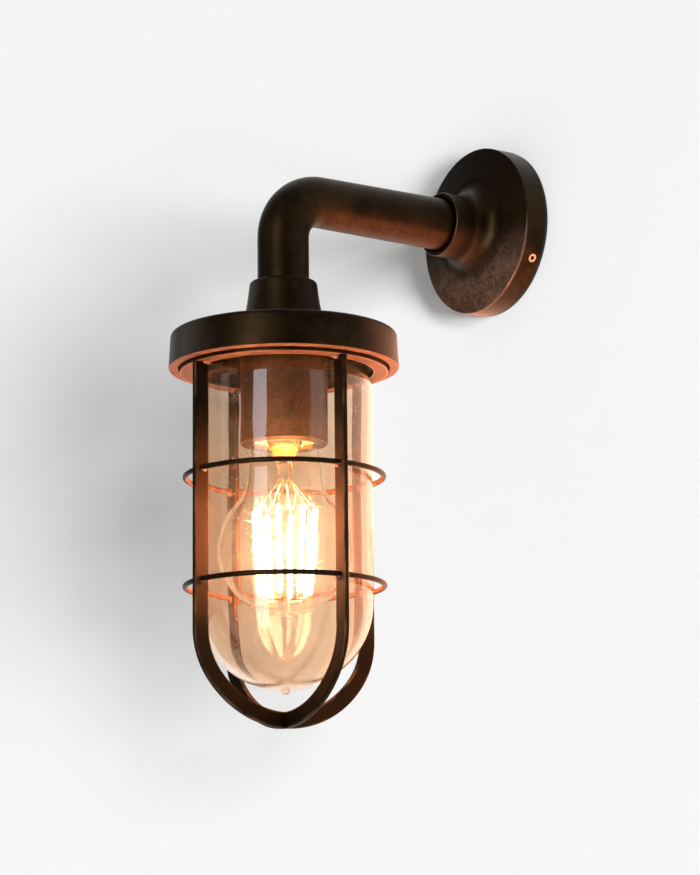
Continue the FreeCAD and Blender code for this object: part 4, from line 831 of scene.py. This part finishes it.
def hoop_patina():
    """The same patina, rubbed along the bars' corners, which the mesh marks, with the bulb's warm glow
    painted on their inner sides beside the bulb.
    """
    made, board, place = new_material("hoop_patina")
    cloud = place.noise(45.0, 5.0, 0.6)
    grain = place.noise(700.0, 4.0, 0.65)
    colour = board.mix(0.35 * cloud.rise(0.32, 0.68), PATINA_DEEP, PATINA_BROWN)
    marked = board.add("Attribute", output="Fac", attribute_name="rubbed")
    across, along, up = place.axes()
    inwards = 1.0 - off_lamp_axis(across, along).rise(*INNER_SIDES)
    painted_light_share = inwards * up.near(*BESIDE_BULB) * (0.30 + 0.22 * cloud)
    colour = board.mix(painted_light_share, colour, PAINTED_BULB_GLOW)
    rubbed = 0.16 * marked * place.noise(60.0, 3.0).rise(0.40, 0.70)
    colour = board.mix(rubbed, colour, COPPER)
    bump = board.add("Bump", {"Strength": 0.35, "Distance": 0.00012, "Height": grain})
    return surface(made, board, Base_Color=colour, Metallic=0.95 - 0.6 * painted_light_share, Roughness=0.42 + 0.20 * grain,
                   Normal=bump)


dress(patina("ring_patina", ring_wear, 0.3, ring_painted_glow, broken=0.3), "guard_ring")
dress(patina("wire_patina", bloom=0.2, painted_light=wire_painted_glow), "guard_wire_upper", "guard_wire_lower")
bar_finish = hoop_patina()
for hoop_name, node, sideways in (("hoop_front_back", "guard_hoop_front", False),
                                  ("hoop_side_side", "guard_hoop_side", True)):
    hoop = make_hoop(hoop_name, sideways)
    hoop.data.materials.append(bar_finish)
    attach(hoop, "guard")
    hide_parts(node)


# Braze: uneven beads where the wires pass through the bars, and under the ring beside each bar
# They run in hot, and the patina has been rubbed off them, so they are the brightest metal on the
# guard.

WIRE_LEVELS = (-0.1318, -0.1816)
WIRE_BEAD_INSET, WIRE_BEAD_ASIDE, WIRE_BEAD_DROP = 0.0006, 0.0018, 0.0006
RING_BEAD_PLACES, RING_BEAD_ASIDE, RING_BEAD_DROP = (0.0008, 0.0026), 0.0016, 0.0002
BEAD_SHIFT, LAST_PHASE = 0.0003, 6.0


def make_beads(name, centres, sizes, phases):
    """Round lumps: at angles (a, b), a point is centre + size x (1 + waves) x the unit sphere's point."""
    across, down = 20, 12
    a = np.linspace(0.0, 2 * np.pi, across, endpoint=False)[None, None, :]
    b = np.linspace(0.0, np.pi, down)[None, 1:-1, None]
    phase = phases[:, None, None]
    swell = 1.0 + (0.16 * np.sin(2 * a + phase) + 0.10 * np.sin(3 * a + 2.1 * b + 1.7 * phase)) * np.sin(b)
    unit = np.stack(np.broadcast_arrays(np.sin(b) * np.cos(a), np.sin(b) * np.sin(a), np.cos(b)), axis=-1)
    body = centres[:, None, None, :] + sizes[:, None, None, :] * unit * swell[..., None]
    heights = sizes * (0.0, 0.0, 1.0)
    return closed_forms(name, body, centres + heights, centres - heights, sharp=80.0)


def braze():
    """Bright coppery braze with dark flux left in its hollows."""
    made, board, place = new_material("braze")
    flux = place.noise(900.0, 4.0, 0.7)
    colour = board.mix(flux.rise(0.45, 0.62), (0.50, 0.25, 0.15, 1.0), (0.06, 0.025, 0.012, 1.0))
    bump = board.add("Bump", {"Strength": 0.6, "Distance": 0.0003, "Height": place.noise(1100.0, 3.0)})
    return surface(made, board, Base_Color=colour, Metallic=0.9, Roughness=0.25 + 0.4 * flux, Normal=bump)


def round_the_axis(radius, sideways, level):
    """Places beside each of the four bars: radius along the bar's direction, sideways across it."""
    turn = np.radians(np.arange(4) * 90.0)[:, None]
    out = np.stack([np.cos(turn), np.sin(turn)], axis=-1)
    side = np.stack([-np.sin(turn), np.cos(turn)], axis=-1)
    plane = out * radius + side * np.asarray(sideways)[None, :, None]
    flat = plane.reshape(-1, 2) + (0.0, -REACH)
    return np.column_stack([flat, np.full(len(flat), level)])


draw = np.random.default_rng(7)
bead_finish = braze()
wire_beads = np.vstack([round_the_axis(HOOP_MIDDLE - WIRE_BEAD_INSET, (-WIRE_BEAD_ASIDE, WIRE_BEAD_ASIDE),
                                       level - WIRE_BEAD_DROP) for level in WIRE_LEVELS])
ring_beads = np.vstack([round_the_axis(HOOP_RADIUS - HOOP_DEPTH + inset, (-RING_BEAD_ASIDE, RING_BEAD_ASIDE),
                                       RING_FOOT - RING_BEAD_DROP) for inset in RING_BEAD_PLACES])
for bead_name, node, centres, smallest, largest in (
        ("braze_beads_wires", "wire_brazes", wire_beads, 0.0011, 0.0018),
        ("braze_beads_ring", "bar_brazes", ring_beads, 0.0009, 0.0016)):
    sizes = draw.uniform(smallest, largest, (len(centres), 3))
    placed = centres + draw.uniform(-BEAD_SHIFT, BEAD_SHIFT, centres.shape)
    beads = make_beads(bead_name, placed, sizes, draw.uniform(0.0, LAST_PHASE, len(centres)))
    beads.data.materials.append(bead_finish)
    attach(beads, "guard")
    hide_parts(node)


# Bulb: clear pear-shaped glass with a nickel-plated screw cap, a glass stem, and eight light strips
# The strips stand in a ring round the axis, lean slightly inwards, and are lit warm white.

# Levels of the glass, and its radii from the cap down to the neck, the hollow curve and the globe.
BULB_TOP, BULB_CAP_FOOT = -0.1108, -0.1140
BULB_NECK_TOP, BULB_NECK_FOOT, BULB_CENTRE = -0.1208, -0.12966, -0.1648
BULB_CAP_INSIDE, BULB_NECK_ABOVE, BULB_NECK = 0.0117, 0.0162, 0.0170
BULB_HOLLOW, BULB_GLOBE = 0.0240, 0.0300
BULB_WALL = 0.0008


def bulb_profile(inset):
    """Points (r, z) of the throat, the hollow curve of the neck and the globe, moved in by the inset.

    The throat's radius follows 3 s^2 - 2 s^3 over the share s of its height.
    """
    hollow_reach = BULB_NECK + BULB_HOLLOW
    meet = math.degrees(math.acos(hollow_reach / (BULB_GLOBE + BULB_HOLLOW)))
    neck = [(BULB_CAP_INSIDE - inset, BULB_TOP), (BULB_CAP_INSIDE - inset, BULB_CAP_FOOT)]
    share = np.linspace(0.0, 1.0, 16)[1:]
    ease = share * share * (3 - 2 * share)
    throat = np.stack([BULB_CAP_INSIDE + (BULB_NECK_ABOVE - BULB_CAP_INSIDE) * ease - inset,
                       BULB_CAP_FOOT + (BULB_NECK_TOP - BULB_CAP_FOOT) * share], axis=-1)
    hollow = arc(BULB_HOLLOW + inset, hollow_reach, BULB_NECK_FOOT, 180.0, 180.0 + meet, count=24)
    globe = arc(BULB_GLOBE - inset, 0.0, BULB_CENTRE, meet, -90.0, count=60)
    return np.vstack([neck, throat, hollow, globe[1:]])


def make_bulb_glass():
    """One closed skin: the inside from the bottom up, and the outside down from the throat's top."""
    outside, inside = bulb_profile(0.0), bulb_profile(BULB_WALL)
    return turned("bulb_glass_blown", np.vstack([inside[::-1], outside]), steps=160, sharp=60.0)


bulb_glass = make_bulb_glass()
BULB_TINT = (1.0, 0.97, 0.94, 1.0)
bulb_glass.data.materials.append(clear_glass("bulb_glass", BULB_TINT, seeds=0.15, haze=0.006))
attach(bulb_glass, "bulb")
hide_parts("bulb_glass")

STRIPS = 8
STRIP_TOP, STRIP_FOOT = -0.1467, -0.1857
STRIP_CIRCLE_TOP, STRIP_CIRCLE_FOOT = 0.0142, 0.0112
STRIP_RADIUS, STRIP_END_FADE = 0.0012, 0.004


def make_rods(name, starts, ends, radius, rounds=6, sides=12):
    """Straight rods with round ends: a circle of radius r sin(t) at each step t of an end's quarter turn."""
    direction = ends - starts
    length = np.linalg.norm(direction, axis=1, keepdims=True)
    axis = direction / length
    helper = np.where(np.abs(axis[:, 2:]) < 0.9, (0.0, 0.0, 1.0), (1.0, 0.0, 0.0))
    first = np.cross(axis, helper)
    first /= np.linalg.norm(first, axis=1, keepdims=True)
    second = np.cross(first, axis)
    t = np.linspace(0.0, np.pi / 2, rounds)[1:]
    ring_radius = radius * np.concatenate([np.sin(t), np.sin(t)[::-1]])
    back = radius * (1 - np.cos(t))
    offset = np.concatenate([back, -back[::-1]])
    from_end = np.concatenate([np.zeros(rounds - 1), np.ones(rounds - 1)])
    a = np.linspace(0.0, 2 * np.pi, sides, endpoint=False)
    centre = starts[:, None, :] + axis[:, None, :] * (from_end * length + offset)[:, :, None]
    circle = first[:, None, :] * np.cos(a)[None, :, None] + second[:, None, :] * np.sin(a)[None, :, None]
    body = centre[:, :, None, :] + ring_radius[None, :, None, None] * circle[:, None, :, :]
    return closed_forms(name, body, starts, ends, sharp=80.0)


def on_circle(radius, level):
    """One place for each strip, at even angles round the lamp's axis."""
    a = np.linspace(0.0, 2 * np.pi, STRIPS, endpoint=False)
    return np.stack([radius * np.cos(a), -REACH + radius * np.sin(a), np.full(STRIPS, level)], axis=-1)


def lit_strip():
    """Phosphor coat, lit warm white, a little yellower towards its ends."""
    made, board, place = new_material("lit_strip")
    up = place.axes()[2]
    ends = up.near(STRIP_TOP, STRIP_END_FADE).larger(up.near(STRIP_FOOT, STRIP_END_FADE))
    colour = board.mix(ends, (1.0, 0.84, 0.62, 1.0), (1.0, 0.72, 0.40, 1.0))
    return surface(made, board, Base_Color=rgb(250, 200, 110), Roughness=0.5, Emission_Color=colour,
                   Emission_Strength=45.0)


strip_tops = on_circle(STRIP_CIRCLE_TOP, STRIP_TOP)
strip_feet = on_circle(STRIP_CIRCLE_FOOT, STRIP_FOOT)
strips = make_rods("light_strips", strip_tops, strip_feet, STRIP_RADIUS)
strips.data.materials.append(lit_strip())
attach(strips, "bulb")
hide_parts("bulb_filaments")

# The strips hang from wires that fan out from the stem, and their feet are joined in pairs.
SUPPORT_RADIUS = 0.00045
STEM_END = -0.1350
HUB_CIRCLE, HUB_ABOVE_END = 0.0030, 0.0016
KNEE_CIRCLE, KNEE_BELOW_END = 0.0080, 0.0052
SUPPORT_LAP, FOOT_INSET = 0.0004, 0.0002
LOOP_INSET, LOOP_DROP = 0.0022, 0.0020


def make_supports():
    """Straight wires from the stem to a knee, on to the strips' tops, and from their feet to the loops."""
    hub = on_circle(HUB_CIRCLE, STEM_END + HUB_ABOVE_END)
    knee = on_circle(KNEE_CIRCLE, STEM_END - KNEE_BELOW_END)
    top = on_circle(STRIP_CIRCLE_TOP, STRIP_TOP + SUPPORT_LAP)
    foot = on_circle(STRIP_CIRCLE_FOOT - FOOT_INSET, STRIP_FOOT + SUPPORT_LAP)
    low = on_circle(STRIP_CIRCLE_FOOT - LOOP_INSET, STRIP_FOOT - LOOP_DROP)
    starts = np.vstack([hub, knee, foot, low[0::2]])
    ends = np.vstack([knee, top, low, low[1::2]])
    return make_rods("strip_supports", starts, ends, SUPPORT_RADIUS, rounds=4, sides=8)


def support_wire():
    """Thin bare wire, bright where the light strikes it."""
    made, board, place = new_material("support_wire")
    shade = board.mix(place.noise(700.0).rise(0.4, 0.6), (0.75, 0.70, 0.62, 1.0), (0.95, 0.92, 0.86, 1.0))
    return surface(made, board, Base_Color=shade, Metallic=1.0, Roughness=0.2)


supports = make_supports()
supports.data.materials.append(support_wire())
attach(supports, "bulb")
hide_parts("filament_supports")

# Stem: a flared tube of glass, sealed to the throat, whose round end holds the wires.
STEM_FLARE, STEM_TUBE = 0.0100, 0.0030
STEM_TUBE_FOOT = STEM_END + 0.002
STEM_TINT = (1.0, 0.97, 0.93, 1.0)


def make_stem():
    """The flare's radius follows (1 - s) to the power of 2.2 over the share s of its height."""
    share = np.linspace(0.0, 1.0, 20)
    painted_flare_highlight = np.stack([STEM_TUBE + (STEM_FLARE - STEM_TUBE) * (1 - share) ** 2.2,
                      BULB_CAP_FOOT + share * (STEM_TUBE_FOOT - BULB_CAP_FOOT)], axis=-1)
    end = arc(STEM_TUBE, 0.0, STEM_TUBE_FOOT, 0.0, -90.0, count=10)[1:]
    return turned("stem_glass", np.vstack([[(0.0, BULB_CAP_FOOT)], painted_flare_highlight, end]), steps=64)


stem = make_stem()
stem.data.materials.append(clear_glass("stem_glass", STEM_TINT, seeds=0.1, haze=0.010))
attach(stem, "bulb")
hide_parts("bulb_stem")


def nickel():
    """Nickel plate on the screw cap, satin, painted yellow for the bulb's warm light on it."""
    made, board, place = new_material("nickel")
    cloud = place.noise(240.0, 4.0).rise(0.35, 0.7)
    shade = board.mix(cloud, (0.82, 0.66, 0.40, 1.0), (0.64, 0.50, 0.28, 1.0))
    bump = board.add("Bump", {"Strength": 0.1, "Distance": 0.0001, "Height": place.noise(1800.0)})
    return surface(made, board, Base_Color=shade, Metallic=1.0, Roughness=0.3, Normal=bump)


def black_insulator():
    """Opaque black glass with a slight gloss."""
    made, board, place = new_material("black_insulator")
    cloud = place.noise(300.0).rise(0.4, 0.6)
    shade = board.mix(cloud, (0.006, 0.006, 0.008, 1.0), (0.02, 0.018, 0.022, 1.0))
    return surface(made, board, Base_Color=shade, Roughness=0.12)


def solder():
    """Soft grey solder, dimpled."""
    made, board, place = new_material("solder")
    grey = board.mix(place.noise(500.0).rise(0.35, 0.65), (0.40, 0.40, 0.41, 1.0), (0.60, 0.60, 0.60, 1.0))
    bump = board.add("Bump", {"Strength": 0.4, "Distance": 0.0003, "Height": place.noise(600.0)})
    return surface(made, board, Base_Color=grey, Metallic=1.0, Roughness=0.42, Normal=bump)


dress(nickel(), "bulb_cap")
dress(black_insulator(), "bulb_insulator")
dress(solder(), "bulb_tip")


# Lamps of the lit bulb: what the strips shine on, and the light that gathers in the bulb's glass
# These lamps, the strips, the panes and the warm disk light only the pieces of the wall light. Of
# the pieces diffuse rays see only two, so that warm metal doesn't colour the wall.

BULB_LIGHT_LEVEL, THROAT_LIGHT_LEVEL = -0.166, -0.1205
STRIP_MIDDLE = (STRIP_TOP + STRIP_FOOT) / 2
FRONT_GLARE_REACH = 0.016
BEHIND_THE_PLATE = ("wall_gasket", "wall_bracket")
SEEN_BY_DIFFUSE_RAYS = ("wall_plate", "arm_tube")

all_pieces = bpy.data.collections.new("lit_by_the_bulb")
for item in list(frame["nodes"].values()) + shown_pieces():
    if item.name not in all_pieces.objects and not item.get("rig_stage"):
        all_pieces.objects.link(item)
        item.visible_diffuse = item.name in SEEN_BY_DIFFUSE_RAYS

bulb_light = new_lamp("bulb_light", "POINT", energy=2.4, colour=(1.0, 0.42, 0.14), shadow_soft_size=0.024)
bulb_light.location = (0.0, -REACH, BULB_LIGHT_LEVEL)
# This one shines up into the mouth of the skirt.
throat_light = new_lamp("throat_light", "AREA", energy=0.22, colour=(1.0, 0.62, 0.16),
                        shape="DISK", size=0.026)
aim(throat_light, (0.0, -REACH, THROAT_LIGHT_LEVEL), (0.0, -REACH, 0.0))
# Glare of the strips in the bulb's own glass: even all round, and strong in front of them.
globe_glare = new_lamp("globe_glare", "POINT", energy=0.55, colour=(1.0, 0.80, 0.60),
                       shadow_soft_size=0.006)
globe_glare.location = (0.0, -REACH, STRIP_MIDDLE)
front_glare = new_lamp("front_glare", "AREA", energy=0.26, colour=(1.0, 0.88, 0.74),
                       shape="ELLIPSE", size=0.018, size_y=0.036)
forward = Vector((math.sin(CAMERA_TURN), -math.cos(CAMERA_TURN), 0.0))
front_glare_place = Vector((0.0, -REACH, STRIP_MIDDLE)) + FRONT_GLARE_REACH * forward
aim(front_glare, front_glare_place, front_glare_place + forward)

*side_panes, cap_pane = panes
for source in (strips, *side_panes):
    source.light_linking.receiver_collection = all_pieces
glazing = (bulb_glass, stem)
outside = [item for item in all_pieces.objects if item not in glazing]
exposed = [item for item in all_pieces.objects if item.name not in BEHIND_THE_PLATE]
for source, lit in ((bulb_light, outside), (throat_light, outside), (globe_glare, glazing),
                    (front_glare, glazing), (cap_pane, (frame["nodes"]["cap"],)), (glow, exposed)):
    source.light_linking.receiver_collection = bpy.data.collections.new(source.name + "_lights")
    for item in lit:
        source.light_linking.receiver_collection.objects.link(item)
